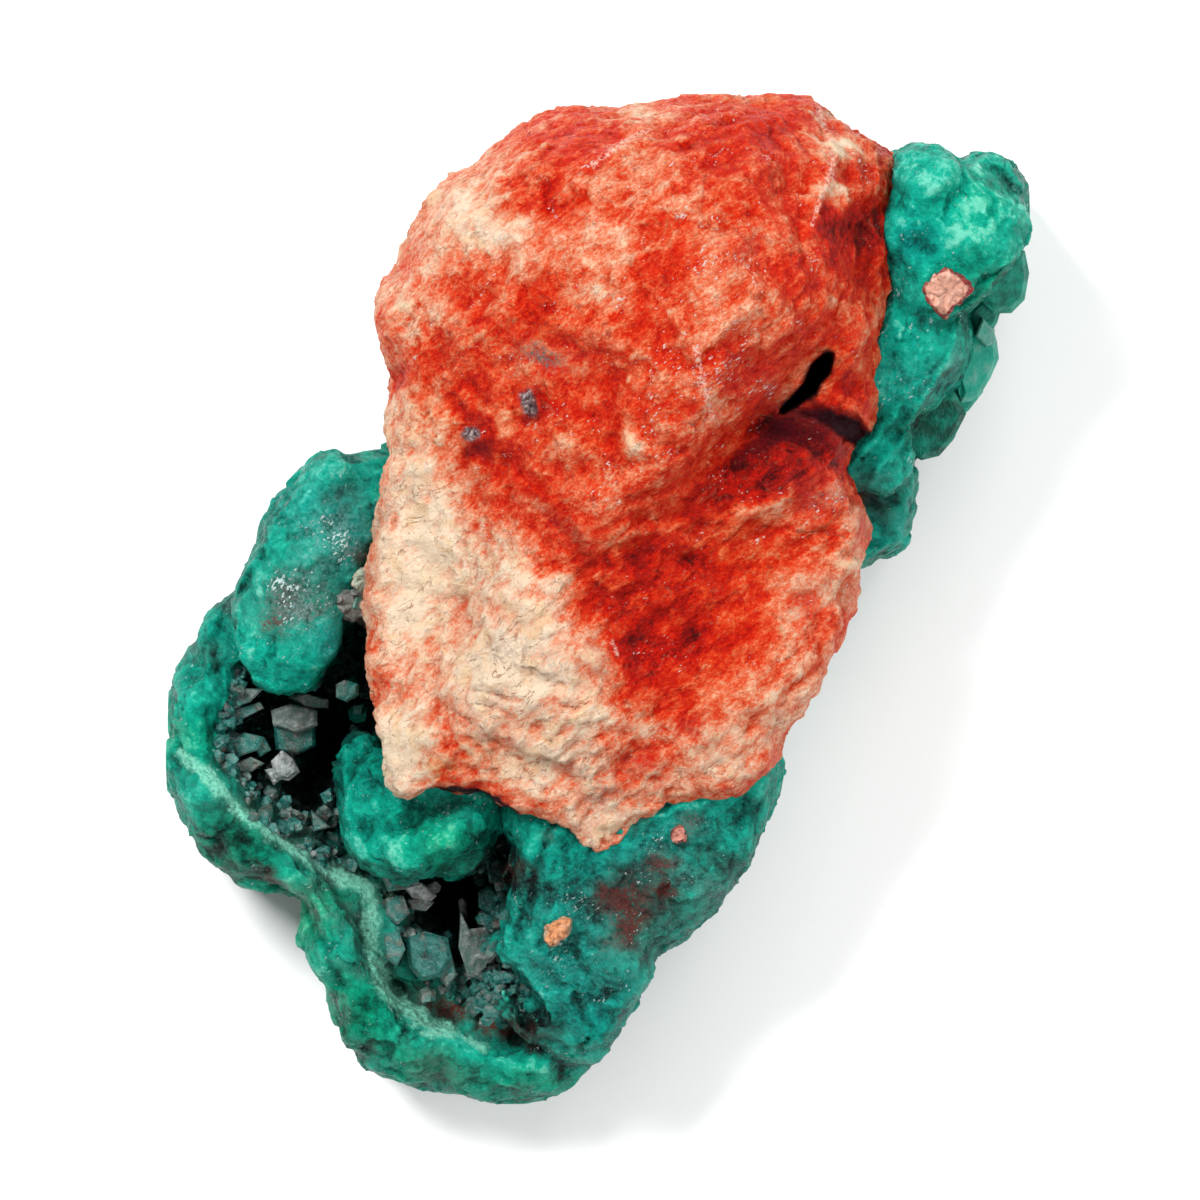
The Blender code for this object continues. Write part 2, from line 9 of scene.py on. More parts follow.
import bpy
import numpy as np
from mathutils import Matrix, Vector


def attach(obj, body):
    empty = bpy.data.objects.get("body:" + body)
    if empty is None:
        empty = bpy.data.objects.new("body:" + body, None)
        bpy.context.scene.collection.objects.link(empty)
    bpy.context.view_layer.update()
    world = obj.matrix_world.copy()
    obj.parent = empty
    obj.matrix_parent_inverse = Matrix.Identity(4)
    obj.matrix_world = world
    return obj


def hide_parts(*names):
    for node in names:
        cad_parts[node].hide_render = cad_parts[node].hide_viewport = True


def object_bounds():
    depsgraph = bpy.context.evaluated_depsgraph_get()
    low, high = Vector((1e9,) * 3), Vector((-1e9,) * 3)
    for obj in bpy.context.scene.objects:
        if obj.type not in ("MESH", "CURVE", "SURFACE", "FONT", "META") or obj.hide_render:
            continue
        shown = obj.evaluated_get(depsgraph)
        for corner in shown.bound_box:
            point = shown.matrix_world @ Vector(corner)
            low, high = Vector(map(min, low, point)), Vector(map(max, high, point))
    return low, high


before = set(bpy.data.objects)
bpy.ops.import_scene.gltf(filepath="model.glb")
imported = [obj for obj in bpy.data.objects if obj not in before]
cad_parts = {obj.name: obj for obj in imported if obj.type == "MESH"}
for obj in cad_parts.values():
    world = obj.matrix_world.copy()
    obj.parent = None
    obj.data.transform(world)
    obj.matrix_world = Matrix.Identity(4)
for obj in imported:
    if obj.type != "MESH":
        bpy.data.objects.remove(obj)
cad_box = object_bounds()


# The matrix
# A block of fine-grained carbonate rock, stained red and orange by iron and left cream where the
# stain didn't reach. It broke off a vein, so its top is a dome cut by old broken faces, with
# ledges, cracks and one dark cleft. The dioptase grew up its lower sides.

MM = 0.001
MATRIX_MIDDLE = (0.9, 5.9)
MATRIX_OUTLINE = [
    (-1.1, 22.3), (0.9, 22.1), (2.9, 22.3), (5.4, 22.8), (7.9, 22.6), (9.4, 22.5), (10.4, 21.6),
    (11.7, 21.1), (12.8, 20.2), (13.6, 19.9), (13.5, 17.6), (13.1, 15.3), (13.0, 13.5), (12.6, 11.9),
    (12.3, 10.3), (12.5, 9.0), (12.1, 7.6), (11.2, 6.8), (10.9, 5.8), (11.3, 4.6), (11.8, 3.6),
    (11.7, 2.0), (11.6, 0.4), (10.9, -1.8), (10.1, -2.9), (9.4, -4.5), (8.2, -6.1), (7.7, -7.3),
    (5.8, -8.8), (4.4, -9.0), (2.8, -9.7), (1.8, -10.2), (0.9, -11.1), (0.0, -11.3), (-1.1, -10.8),
    (-1.9, -9.9), (-2.9, -9.7), (-4.1, -9.1), (-5.4, -8.5), (-7.6, -8.6), (-8.3, -9.2), (-9.1, -9.0),
    (-9.9, -8.1), (-9.7, -6.8), (-10.0, -5.4), (-10.4, -4.0), (-10.6, -2.2), (-10.3, -1.6),
    (-10.4, 0.0), (-10.1, 2.7), (-9.9, 4.5), (-9.2, 6.5), (-9.5, 7.6), (-9.4, 9.0), (-9.3, 10.3),
    (-9.9, 12.2), (-10.3, 13.5), (-9.6, 14.4), (-8.7, 15.8), (-7.9, 17.6), (-7.2, 18.7),
    (-5.8, 19.6), (-4.5, 20.7), (-2.7, 21.8),
]
MATRIX_FOOT = 3.9
MATRIX_RIM = 11.4
MATRIX_CROWN = 23.4
# Broken faces that cut the dome: a point of each, and its rise per millimetre in x and y
MATRIX_FACES = [
    (10.0, 15.0, 20.6, -1.05, -0.10),
    (-7.6, 1.0, 16.6, 0.52, 0.06),
    (3.0, 19.4, 21.6, 0.05, -0.75),
    (-6.0, 15.0, 20.2, 0.50, -0.22),
    (0.5, -8.0, 15.8, 0.02, 0.42),
    (7.8, -3.4, 16.4, -0.62, 0.30),
    (1.0, 6.0, 21.0, 0.16, 0.05),
    (-8.0, 8.8, 18.4, 0.75, 0.10),
]
EDGE_SOFTNESS = 0.35
# Swellings and hollows: x, y, half length, half width, turn in degrees, rise
MATRIX_RELIEF = [
    (4.6, 12.5, 7.0, 5.0, 60, 1.4),
    (-4.5, 12.0, 5.5, 4.5, 80, 0.9),
    (5.2, 0.6, 5.2, 3.6, 25, -2.3),
    (6.3, 7.2, 5.2, 1.9, 45, -2.2),
    (-2.4, -4.4, 3.8, 2.9, -20, 1.5),
    (-6.6, 1.2, 2.2, 5.0, -10, -0.9),
    (8.6, -2.4, 2.2, 3.6, -35, 1.0),
    (11.6, 15.6, 2.6, 4.6, 0, -1.2),
]
# Ledges: two ends, the drop on the right-hand side, and how far the drop takes to die out
MATRIX_LEDGES = [
    ((1.8, 22.4), (0.0, 18.4), 0.7, 2.5),
    ((9.8, 20.8), (9.0, 13.4), 0.9, 3.0),
    ((-5.4, 0.9), (-5.7, -1.9), 0.8, 1.8),
    ((-4.4, -2.6), (-0.4, -3.8), 0.9, 1.6),
    ((-5.2, -5.4), (-1.0, -7.4), 0.7, 1.8),
    ((3.6, 8.4), (8.0, 12.6), 0.6, 2.2),
    ((-2.0, 12.4), (3.2, 9.6), 0.6, 2.6),
]
RELIEF_BAND = 3.0  # the relief comes in over this height above the rim
LEDGE_STEP = 0.4  # how wide the steep face of a ledge is
BROAD_WAVES = 3  # how many waves of an outline are left near a body's poles
BOX_GAP = 0.02  # kept free inside the box of the whole specimen
# The dark cleft and its side branch: x, y, half width and depth along each
CLEFT = [
    (10.1, 10.8, 0.3, 2.0), (9.8, 10.3, 0.42, 4.0), (9.4, 9.5, 0.36, 4.0), (8.9, 9.0, 0.3, 3.0),
    (8.2, 8.4, 0.18, 1.5),
]
CLEFT_SIDE = [(8.7, 8.7, 0.3, 0.8), (10.0, 8.2, 0.45, 1.2), (11.2, 7.6, 0.55, 1.8), (12.0, 7.0, 0.5, 2.0)]


def radius_round(outline, middle, angles):
    """Distance from the middle to a closed outline at each angle, read between its points."""
    offsets = np.array(outline) - np.array(middle)
    turned = np.arctan2(offsets[:, 1], offsets[:, 0])
    order = np.argsort(turned)
    return np.interp(angles, turned[order], np.hypot(*offsets.T)[order], period=2 * math.pi)


def calmed(reach, waves):
    """The same closed outline with only its first few Fourier waves left."""
    spectrum = np.fft.rfft(reach)
    spectrum[waves + 1:] = 0
    return np.fft.irfft(spectrum, len(reach))


def unevenness(x, y, z):
    """Three sine waves, each bent by another, added up to between about -1 and 1."""
    first = np.sin(1.9 * x + 1.4 * np.sin(1.3 * y + 0.7 * z))
    second = np.sin(1.6 * y + 1.2 * np.sin(1.1 * z + 1.5 * x) + 2.0)
    third = np.sin(1.2 * z + 1.3 * np.sin(1.4 * x - 1.2 * y) + 4.0)
    return (first + second + third) / 2.2


def domed_grid(outline, middle, low, rim, high, grid, rough=0, shape=None, profile=(0.72, 0.9)):
    """Points of a closed body, in rows by height and columns by angle. The reach is the outline's
    radius times a power of cos(lift), and the height goes from rim to high, or down to low, with a
    power of sin(lift), where lift runs from -90 to 90 degrees. Towards the poles the outline fades
    into its broad waves, and rough times the unevenness is added there, outwards. The shape may
    then change the upper heights. The first and last rows are poles."""
    columns, below, above = grid
    angles = np.arange(columns) * 2 * math.pi / columns
    lift = np.append(np.linspace(-90, 0, below + 1)[:-1], np.linspace(0, 90, above + 1))
    lift = np.radians(lift)[:, None]
    share = np.abs(np.cos(lift)) ** profile[0]
    rise = np.abs(np.sin(lift)) ** profile[1]
    edge = radius_round(outline, middle, angles)
    calm = calmed(edge, BROAD_WAVES)
    reach = share * (calm + (edge - calm) * share**4)
    x = middle[0] + reach * np.cos(angles)
    y = middle[1] + reach * np.sin(angles)
    z = rim(x, y) + rise * np.where(lift > 0, high(x, y) - rim(x, y), low(x, y) - rim(x, y))
    swell = rough * (1 - share**8) * unevenness(x, y, z)
    x = x + swell * np.cos(angles) * share
    y = y + swell * np.sin(angles) * share
    z = z + swell * np.sin(lift)
    if shape:
        z = np.where(lift > 0, shape(x, y, z), z)
    return np.stack([x, y, z], axis=2)


def plane(height, slope, middle):
    """The height of a tilted plane that passes through the middle at the given height."""
    return lambda x, y: height + slope[0] * (x - middle[0]) + slope[1] * (y - middle[1]) + 0 * x


def level(height):
    """A height that is the same everywhere."""
    return plane(height, (0, 0), (0, 0))


def scattered(corner, seed):
    """A fixed random number from 0 to 1 for each whole-number place, by multiplying its three
    numbers by large primes and folding the bits."""
    x, y, z = (corner[..., i].astype(np.int64).astype(np.uint32) for i in range(3))
    mixed = x * np.uint32(374761393) + y * np.uint32(668265263) + z * np.uint32(2246822519)
    mixed = mixed + np.uint32(seed * 40503 + 977)
    mixed = (mixed ^ (mixed >> np.uint32(13))) * np.uint32(1274126177)
    mixed = (mixed ^ (mixed >> np.uint32(16))) * np.uint32(2654435769)
    return (mixed ^ (mixed >> np.uint32(15))) / 4294967295


def cloud(points, cell, seed):
    """Smooth noise from -1 to 1: random numbers on a cubic lattice, blended between the eight
    corners round each point by the curve 6t^5 - 15t^4 + 10t^3."""
    place = points / cell
    corner = np.floor(place).astype(int)
    t = place - corner
    t = t * t * t * (t * (t * 6 - 15) + 10)
    total = 0
    for step in np.ndindex(2, 2, 2):
        weight = np.prod(np.where(step, t, 1 - t), axis=-1)
        total = total + weight * scattered(corner + np.array(step), seed)
    return 2 * total - 1


def fractal(points, cell, octaves, seed, gain=0.5):
    """Layers of smooth noise, each half as wide and gain times as strong as the one before."""
    total = 0
    for octave in range(octaves):
        total = total + gain**octave * cloud(points, cell / 2**octave, seed + octave)
    return total


def drift(points, cell, octaves, seed, gain=0.5):
    """A random offset in x, y and z for each point: layered noise with a seed for each axis."""
    return np.stack([fractal(points, cell, octaves, seed + axis, gain) for axis in range(3)], axis=-1)


def grains(points, cell, seed):
    """For each point, the nearest of one random seed per lattice cell: how far it is, how much
    further the next one is, the offset from it, and its lattice place. Distances are in cells."""
    place = points / cell
    corner = np.floor(place).astype(int)
    near = np.full(points.shape[:-1], 9.0)
    following = near.copy()
    offset = np.zeros(points.shape)
    home = np.zeros(points.shape, int)
    for step in np.ndindex(3, 3, 3):
        here = corner + np.array(step) - 1
        jitter = np.stack([scattered(here, seed + axis) for axis in range(3)], axis=-1)
        apart = place - here - jitter
        distance = np.linalg.norm(apart, axis=-1)
        closer = distance < near
        following = np.where(closer, near, np.minimum(following, distance))
        near = np.where(closer, distance, near)
        offset = np.where(closer[..., None], apart, offset)
        home = np.where(closer[..., None], here, home)
    return near, following - near, offset, home


def facets(points, cell, seed):
    """A surface of small tilted faces, between about -1 and 1: each grain is a plane through its
    seed that rises in a random direction of its own."""
    _, _, offset, home = grains(points, cell, seed)
    tilt = np.stack([scattered(home, seed + 20 + axis) - 0.5 for axis in range(3)], axis=-1)
    return 2 * np.sum(offset * tilt, axis=-1)


def spot(points, x, y, length, width, turn):
    """1 at a plan position, falling off as a Gaussian with the given half length and width."""
    c, s = math.cos(math.radians(turn)), math.sin(math.radians(turn))
    along = (points[..., 0] - x) * c + (points[..., 1] - y) * s
    across = (points[..., 1] - y) * c - (points[..., 0] - x) * s
    return np.exp(-((along / length) ** 2) - (across / width) ** 2)


def spots(points, marks):
    """The sum of the marks' spots, each times its strength."""
    return sum(mark[5] * spot(points, *mark[:5]) for mark in marks)


def stroke(points, path):
    """Distance in plan from a broken line, divided by its half width there, and the value that
    its last column has at the nearest place."""
    best = np.full(points.shape[:-1], 99.0)
    value = np.zeros(points.shape[:-1])
    path = np.array(path, dtype=float)
    for start, end in zip(path[:-1], path[1:]):
        run = end[:2] - start[:2]
        t = np.clip((points[..., :2] - start[:2]) @ run / (run @ run), 0, 1)
        nearest = start[:2] + t[..., None] * run
        width = start[2] + t * (end[2] - start[2])
        distance = np.linalg.norm(points[..., :2] - nearest, axis=-1) / width
        closer = distance < best
        best = np.where(closer, distance, best)
        value = np.where(closer, start[-1] + t * (end[-1] - start[-1]), value)
    return best, value


def smoothstep(low, high, value):
    """0 below low, 1 above high, and the curve 3t^2 - 2t^3 between them."""
    t = np.clip((value - low) / (high - low), 0, 1)
    return t * t * (3 - 2 * t)


def lower_of(first, second, softness=EDGE_SOFTNESS):
    """The lower of two heights, with the edge between them worn round: half of their sum less
    the root of their squared difference plus a small constant."""
    return (first + second - np.sqrt((first - second) ** 2 + 4 * softness**2)) / 2


def matrix_surface(x, y, z):
    """The dome's height, cut by the broken faces, plus each swelling's Gaussian, less each ledge's
    step, which dies out exponentially away from its edge."""
    for face_x, face_y, height, slope_x, slope_y in MATRIX_FACES:
        z = lower_of(z, height + slope_x * (x - face_x) + slope_y * (y - face_y))
    inland = np.clip((z - MATRIX_RIM) / RELIEF_BAND, 0, 1)
    z = z + inland * spots(np.stack([x, y], axis=-1), MATRIX_RELIEF)
    for start, end, drop, reach in MATRIX_LEDGES:
        length = math.dist(start, end)
        run = ((end[0] - start[0]) / length, (end[1] - start[1]) / length)
        along = ((x - start[0]) * run[0] + (y - start[1]) * run[1]) / length
        right = (x - start[0]) * run[1] - (y - start[1]) * run[0]
        within = np.clip(1.5 - 3 * np.abs(along - 0.5), 0, 1)
        step = np.clip(right / LEDGE_STEP, 0, 1)
        z = z - inland * drop * within * step * np.exp(-np.maximum(right, 0) / reach)
    return z


def inside_box(points):
    """The points, kept inside the box of the whole specimen."""
    low, high = (np.array(corner) / MM for corner in cad_box)
    return np.clip(points, low + BOX_GAP, high - BOX_GAP)


def write_mesh(name, points, quads, triangles=()):
    """An object at the origin with the given points in millimetres and faces as corner numbers."""
    mesh = bpy.data.meshes.new(name)
    mesh.from_pydata((points * MM).tolist(), [], [*map(tuple, quads), *map(tuple, triangles)])
    mesh.validate()
    mesh.shade_smooth()
    made = bpy.data.objects.new(name, mesh)
    bpy.context.scene.collection.objects.link(made)
    return made


def faces_of_rows(rows, columns):
    """Faces of a grid with a pole at each end: a fan, rings of quads and a fan. Point 0 and the
    last point are the poles."""
    column = np.arange(columns)
    after = (column + 1) % columns
    first = 1 + np.arange(rows - 1)[:, None] * columns
    quads = np.stack([first + column, first + after, first + columns + after, first + columns + column], -1)
    top = 1 + (rows - 1) * columns
    last = rows * columns + 1
    fans = np.concatenate([
        np.stack([np.zeros_like(column), 1 + after, 1 + column], -1),
        np.stack([top + column, top + after, np.full_like(column, last)], -1),
    ])
    return quads.reshape(-1, 4), fans


def closed_points(grid):
    """The grid's points in one list, with each pole row given as its one middle point."""
    return np.concatenate([grid[0].mean(0)[None], grid[1:-1].reshape(-1, 3), grid[-1].mean(0)[None]])


def add_mask(made, name, values):
    """Stores one number per point, which the material reads by name."""
    layer = made.data.attributes.new(name, "FLOAT", "POINT")
    layer.data.foreach_set("value", np.ascontiguousarray(values, dtype=np.float32))


def points_of(made):
    """The object's points in millimetres."""
    flat = np.empty(3 * len(made.data.vertices), np.float32)
    made.data.vertices.foreach_get("co", flat)
    return flat.reshape(-1, 3).astype(float) / MM


def body_from(name, grid):
    """A closed object from a grid with a pole row at each end."""
    return write_mesh(name, closed_points(grid), *faces_of_rows(len(grid) - 2, grid.shape[1]))


def settle(made):
    """Puts the modifiers' result in the object's own mesh."""
    bpy.context.view_layer.update()
    worked = made.evaluated_get(bpy.context.evaluated_depsgraph_get())
    made.data = bpy.data.meshes.new_from_object(worked)
    made.modifiers.clear()


def joined(name, bodies):
    """One object from the meshes of several."""
    corners, faces, start = [], [], 0
    for body in bodies:
        corners.append(points_of(body))
        faces += [[start + corner for corner in face.vertices] for face in body.data.polygons]
        start += len(body.data.vertices)
        bpy.data.objects.remove(body)
    return write_mesh(name, np.concatenate(corners), faces)


def reskinned(name, bodies, voxel):
    """One closed skin round several overlapping bodies, remeshed on a cubic lattice."""
    made = joined(name, bodies)
    skin = made.modifiers.new("skin", "REMESH")
    skin.mode = "VOXEL"
    skin.voxel_size = voxel * MM
    settle(made)
    return made


def vertex_normals(made):
    """Unit normals at the object's points."""
    flat = np.empty(3 * len(made.data.vertices), np.float32)
    made.data.vertex_normals.foreach_get("vector", flat)
    return flat.reshape(-1, 3).astype(float)


def move_points(made, points):
    """Puts the object's points at new places, given in millimetres."""
    made.data.vertices.foreach_set("co", (points * MM).astype(np.float32).ravel())
    made.data.update()


def thinned(made, triangles):
    """The object with its flattest faces merged, until about so many triangles are left."""
    sides = np.empty(len(made.data.polygons), np.int32)
    made.data.polygons.foreach_get("loop_total", sides)
    thin = made.modifiers.new("thin", "DECIMATE")
    thin.ratio = min(1.0, triangles / int((sides - 2).sum()))
    settle(made)
    made.data.shade_smooth()
    return made


def stand_out(made, rounds):
    """How far each point stands out of its surroundings: its distance, along its normal, from
    where it lies once every point has moved so many times to the mean of its neighbours."""
    ends = np.empty(2 * len(made.data.edges), np.int32)
    made.data.edges.foreach_get("vertices", ends)
    first, second = ends.reshape(-1, 2).T
    place = points_of(made)
    count = len(place)
    neighbours = np.bincount(ends, minlength=count)[:, None]
    smooth = place
    for _ in range(rounds):
        sums = [
            np.bincount(first, axis[second], count) + np.bincount(second, axis[first], count)
            for axis in smooth.T
        ]
        smooth = np.stack(sums, axis=1) / neighbours
    return np.sum((place - smooth) * vertex_normals(made), axis=1)


def add_raised(made):
    """Stores how far each point stands out of its surroundings, in tenths of a millimetre."""
    add_mask(made, "raised", np.clip(stand_out(made, 12) / 0.10, -1.5, 1.5))


def lift_along(place, guide, paths, share):
    """Lifts the points along each path by its height there times the share, less with distance as
    a Gaussian of half widths. Distances are read at the guide points."""
    for path in paths:
        away, height = stroke(guide, path)
        place[:, 2] += share * height * np.exp(-away**2)


def turned(points, degrees, stretch):
    """The points turned in plan and squeezed along the turned x axis, so that noise read from
    them runs in streaks."""
    c, s = math.cos(math.radians(degrees)), math.sin(math.radians(degrees))
    x = points[:, 0] * c + points[:, 1] * s
    y = points[:, 1] * c - points[:, 0] * s
    return np.stack([x / stretch, y, points[:, 2]], axis=1)


MATRIX_TRIANGLES = 190000
SKIN_VOXEL = 0.15
STREAK_TURN = 36  # degrees, how the rock's fibres run
WRINKLE_TURN = 58  # degrees, how the pale part's wrinkles run
TOP_BAND = (10.5, 12.5)  # heights over which the top's small forms come in
SIDE_BAND = (4.5, 6.5)  # heights over which the roughness comes in, above the hidden underside
# Small forms of the rock's top: x, y, half length, half width, turn in degrees, rise
ROCK_KNOBS = [
    (-3.1, 8.6, 0.5, 0.4, 0, 0.42), (-5.5, 7.2, 0.5, 0.4, 0, 0.45), (-1.7, 2.3, 0.4, 0.4, 0, 0.25),
    (-1.7, 2.3, 0.2, 0.2, 0, -0.4), (-0.5, -2.5, 0.7, 0.8, 70, 0.5), (-3.4, -4.0, 2.2, 1.2, -10, 0.45),
    (1.6, 6.8, 0.5, 0.7, 60, 0.25), (-2.0, -1.8, 0.7, 1.2, 60, 0.3), (4.0, 1.8, 1.2, 0.6, -20, -0.3),
    (9.1, 0.8, 0.8, 0.6, 0, 0.3), (7.4, 4.1, 1.1, 0.5, 20, 0.25), (-7.6, 8.1, 0.8, 1.2, 70, 0.3),
    (-8.8, 5.8, 0.4, 1.0, 80, 0.2), (7.2, 8.1, 1.3, 0.5, 35, -0.9), (9.0, 7.2, 1.8, 0.6, -25, -0.8),
    (11.5, 10.3, 0.7, 1.8, 75, 0.5), (11.0, 12.2, 0.9, 0.9, 0, 0.3), (-4.5, 12.2, 1.3, 0.7, 30, 0.3),
    (-1.8, 15.8, 1.8, 0.6, 40, 0.3), (0.9, 17.6, 1.2, 0.6, 60, -0.35), (4.5, 18.0, 1.8, 0.7, 35, 0.35),
    (7.2, 19.3, 1.3, 0.5, 30, 0.3), (2.5, 13.5, 1.3, 0.6, 45, -0.3), (5.4, 12.2, 1.8, 0.6, 40, 0.35),
    (0.0, 11.7, 1.6, 0.6, -30, 0.3), (-3.1, 5.4, 2.2, 0.4, -40, -0.35), (-0.9, 7.2, 1.8, 0.5, 35, 0.3),
    (1.8, 3.6, 0.6, 0.4, 0, -0.3), (-6.8, 14.4, 1.3, 0.7, 20, 0.3), (-5.8, 17.8, 1.3, 0.8, 30, 0.3),
    (-9.0, -0.4, 0.7, 1.2, 80, 0.25), (-7.6, 2.7, 0.5, 1.5, 80, 0.2), (-4.0, 0.0, 0.4, 1.5, 75, 0.35),
    (0.4, -4.5, 0.7, 1.1, 60, -0.3), (1.8, -6.3, 0.5, 1.8, 85, -0.35), (4.5, -6.3, 1.8, 0.6, 25, 0.3),
    (6.3, -4.0, 1.3, 0.6, 45, 0.25), (0.0, -9.0, 0.9, 0.7, 0, 0.25), (-3.6, -6.5, 1.8, 0.5, -30, 0.3),
    (-7.2, -6.3, 1.3, 0.7, 0, 0.25),
]
# Cracks, and healed veins that stand out: x, y, half width, and depth or height along each
CRACKS = [
    [(-5.6, -4.0, 0.12, 0.2), (-4.5, -4.2, 0.16, 0.35), (-3.5, -4.5, 0.12, 0.2)],
    [(-5.5, -4.6, 0.1, 0.2), (-4.6, -4.8, 0.14, 0.3), (-3.8, -5.2, 0.1, 0.2)],
    [(7.2, 3.3, 0.1, 0.1), (8.5, 3.1, 0.14, 0.2), (9.7, 3.0, 0.14, 0.2), (11.4, 2.8, 0.1, 0.1)],
    [(-1.8, -4.5, 0.1, 0.15), (-1.1, -4.8, 0.14, 0.3), (-0.4, -4.5, 0.1, 0.15)],
    [(-7.2, -4.5, 0.08, 0.12), (-5.4, -5.6, 0.1, 0.2), (-3.6, -7.2, 0.1, 0.2), (-2.7, -8.5, 0.1, 0.1)],
]
VEINS = [
    [
        (9.7, 22.5, 0.14, 0.1), (10.0, 21.1, 0.2, 0.15), (10.4, 20.2, 0.26, 0.2),
        (10.3, 19.0, 0.22, 0.2), (9.8, 17.8, 0.14, 0.12), (9.4, 16.6, 0.1, 0.08),
    ],
    [(-0.3, 19.3, 0.16, 0.1), (0.7, 20.0, 0.2, 0.15), (1.4, 20.6, 0.14, 0.1), (2.2, 20.9, 0.12, 0.08)],
    [(4.2, 11.2, 0.14, 0.08), (4.5, 9.7, 0.2, 0.12), (5.0, 8.1, 0.16, 0.1)],
    [(0.8, -2.5, 0.1, 0.06), (0.5, -1.8, 0.1, 0.06)],
]


def rock_grain(points):
    """The rock's fibres and small broken faces: noise stretched along the fibres, plus two sizes
    of tilted facets whose edges are shaken a little."""
    fibres = fractal(turned(points, STREAK_TURN, 3.2), 0.85, 4, 15, 0.6)
    shaken = points + 0.15 * cloud(points, 0.5, 30)[:, None]
    return 0.12 * fibres + 0.12 * facets(shaken, 1.1, 40) + 0.055 * facets(points, 0.42, 60)


matrix = reskinned("matrix_rock", [body_from("rock", domed_grid(
    MATRIX_OUTLINE, MATRIX_MIDDLE, low=level(MATRIX_FOOT),
    rim=plane(MATRIX_RIM, (0, -0.09), MATRIX_MIDDLE), high=plane(MATRIX_CROWN, (0, 0.10), MATRIX_MIDDLE),
    grid=(360, 24, 90), rough=0.4, shape=matrix_surface,
))], SKIN_VOXEL)
place = points_of(matrix)
top = smoothstep(*TOP_BAND, place[:, 2])
seen = smoothstep(*SIDE_BAND, place[:, 2])
swells = 0.30 * fractal(place, 3.0, 3, 1, 0.5) - 0.20 * np.abs(fractal(place, 1.9, 3, 9)) + 0.10
# The pale lower left part, beyond a slanting line, is wrinkled
pale_side = smoothstep(0.5, -1.5, place[:, 0] + 0.68 * place[:, 1] + 2.16)
wrinkles = pale_side * (0.05 - 0.18 * np.abs(fractal(turned(place, WRINKLE_TURN, 2.6), 0.8, 3, 55, 0.6)))
place = place + (seen * (swells + wrinkles + rock_grain(place)))[:, None] * vertex_normals(matrix)
ragged = place + 0.16 * drift(place, 0.6, 1, 5)
place[:, 2] += top * spots(ragged, ROCK_KNOBS)
lift_along(place, ragged, CRACKS, -top)
lift_along(place, ragged, VEINS, top)
for path in (CLEFT, CLEFT_SIDE):
    away, depth = stroke(ragged, path)
    place[:, 2] -= top * depth * smoothstep(1.15, 0.6, away)
move_points(matrix, inside_box(place))
thinned(matrix, MATRIX_TRIANGLES)

# Painted shade in gullies and along shaded edges: x, y, half width and strength along each
PAINTED_SHADE_PATHS = [
    [
        (8.6, 8.1, 0.25, 0.6), (9.5, 8.3, 0.25, 0.7), (10.3, 8.1, 0.3, 1.1), (11.2, 7.6, 0.42, 1.3),
        (12.0, 7.0, 0.38, 1.1),
    ],
    [
        (6.1, 6.2, 0.25, 0.35), (7.0, 6.8, 0.35, 0.6), (8.1, 7.6, 0.45, 0.75), (9.1, 7.8, 0.5, 0.62),
        (10.1, 7.4, 0.5, 0.6), (10.8, 6.7, 0.3, 0.4),
    ],
    [
        (-7.7, -8.5, 0.08, 0.8), (-6.6, -8.5, 0.1, 1.1), (-5.5, -8.6, 0.12, 1.2),
        (-4.5, -9.0, 0.12, 1.1), (-3.6, -9.7, 0.1, 0.7),
    ],
    [(-3.6, 5.0, 0.2, 0.2), (-2.3, 4.0, 0.3, 0.35), (-1.1, 2.9, 0.3, 0.35), (-0.4, 1.7, 0.2, 0.2)],
    [(-5.9, 6.5, 0.25, 0.5), (-5.1, 6.7, 0.3, 0.5)],
    [(-2.7, 8.2, 0.2, 0.55), (-3.3, 8.0, 0.2, 0.4)],
]
# Grey nodules, and places where glints are painted in
NODULES = [
    (-3.2, 8.9, 0.4, 0.5, 0, 1.0), (-5.7, 7.3, 0.5, 0.4, -10, 1.0), (-3.0, 8.4, 0.3, 0.3, 0, 0.8),
]
GLINTING = [
    (5.2, 10.1, 1.5, 2.2, 80, 0.9), (4.5, 12.2, 1.3, 1.8, 60, 0.5), (5.4, 15.8, 2.2, 1.8, 0, 0.5),
    (9.0, 4.5, 2.2, 0.9, 10, 0.6), (3.1, 7.2, 2.7, 0.9, 40, 0.6), (1.8, 18.9, 2.2, 0.9, 30, 0.5),
    (2.5, 1.1, 0.7, 0.6, 0, 0.6), (7.2, 19.8, 1.8, 1.8, 0, 0.4), (-2.5, 8.8, 1.3, 0.9, 0, 0.4),
    (6.3, 13.5, 1.3, 2.2, 60, 0.5), (11.7, 7.2, 0.9, 0.9, 0, 0.5),
]
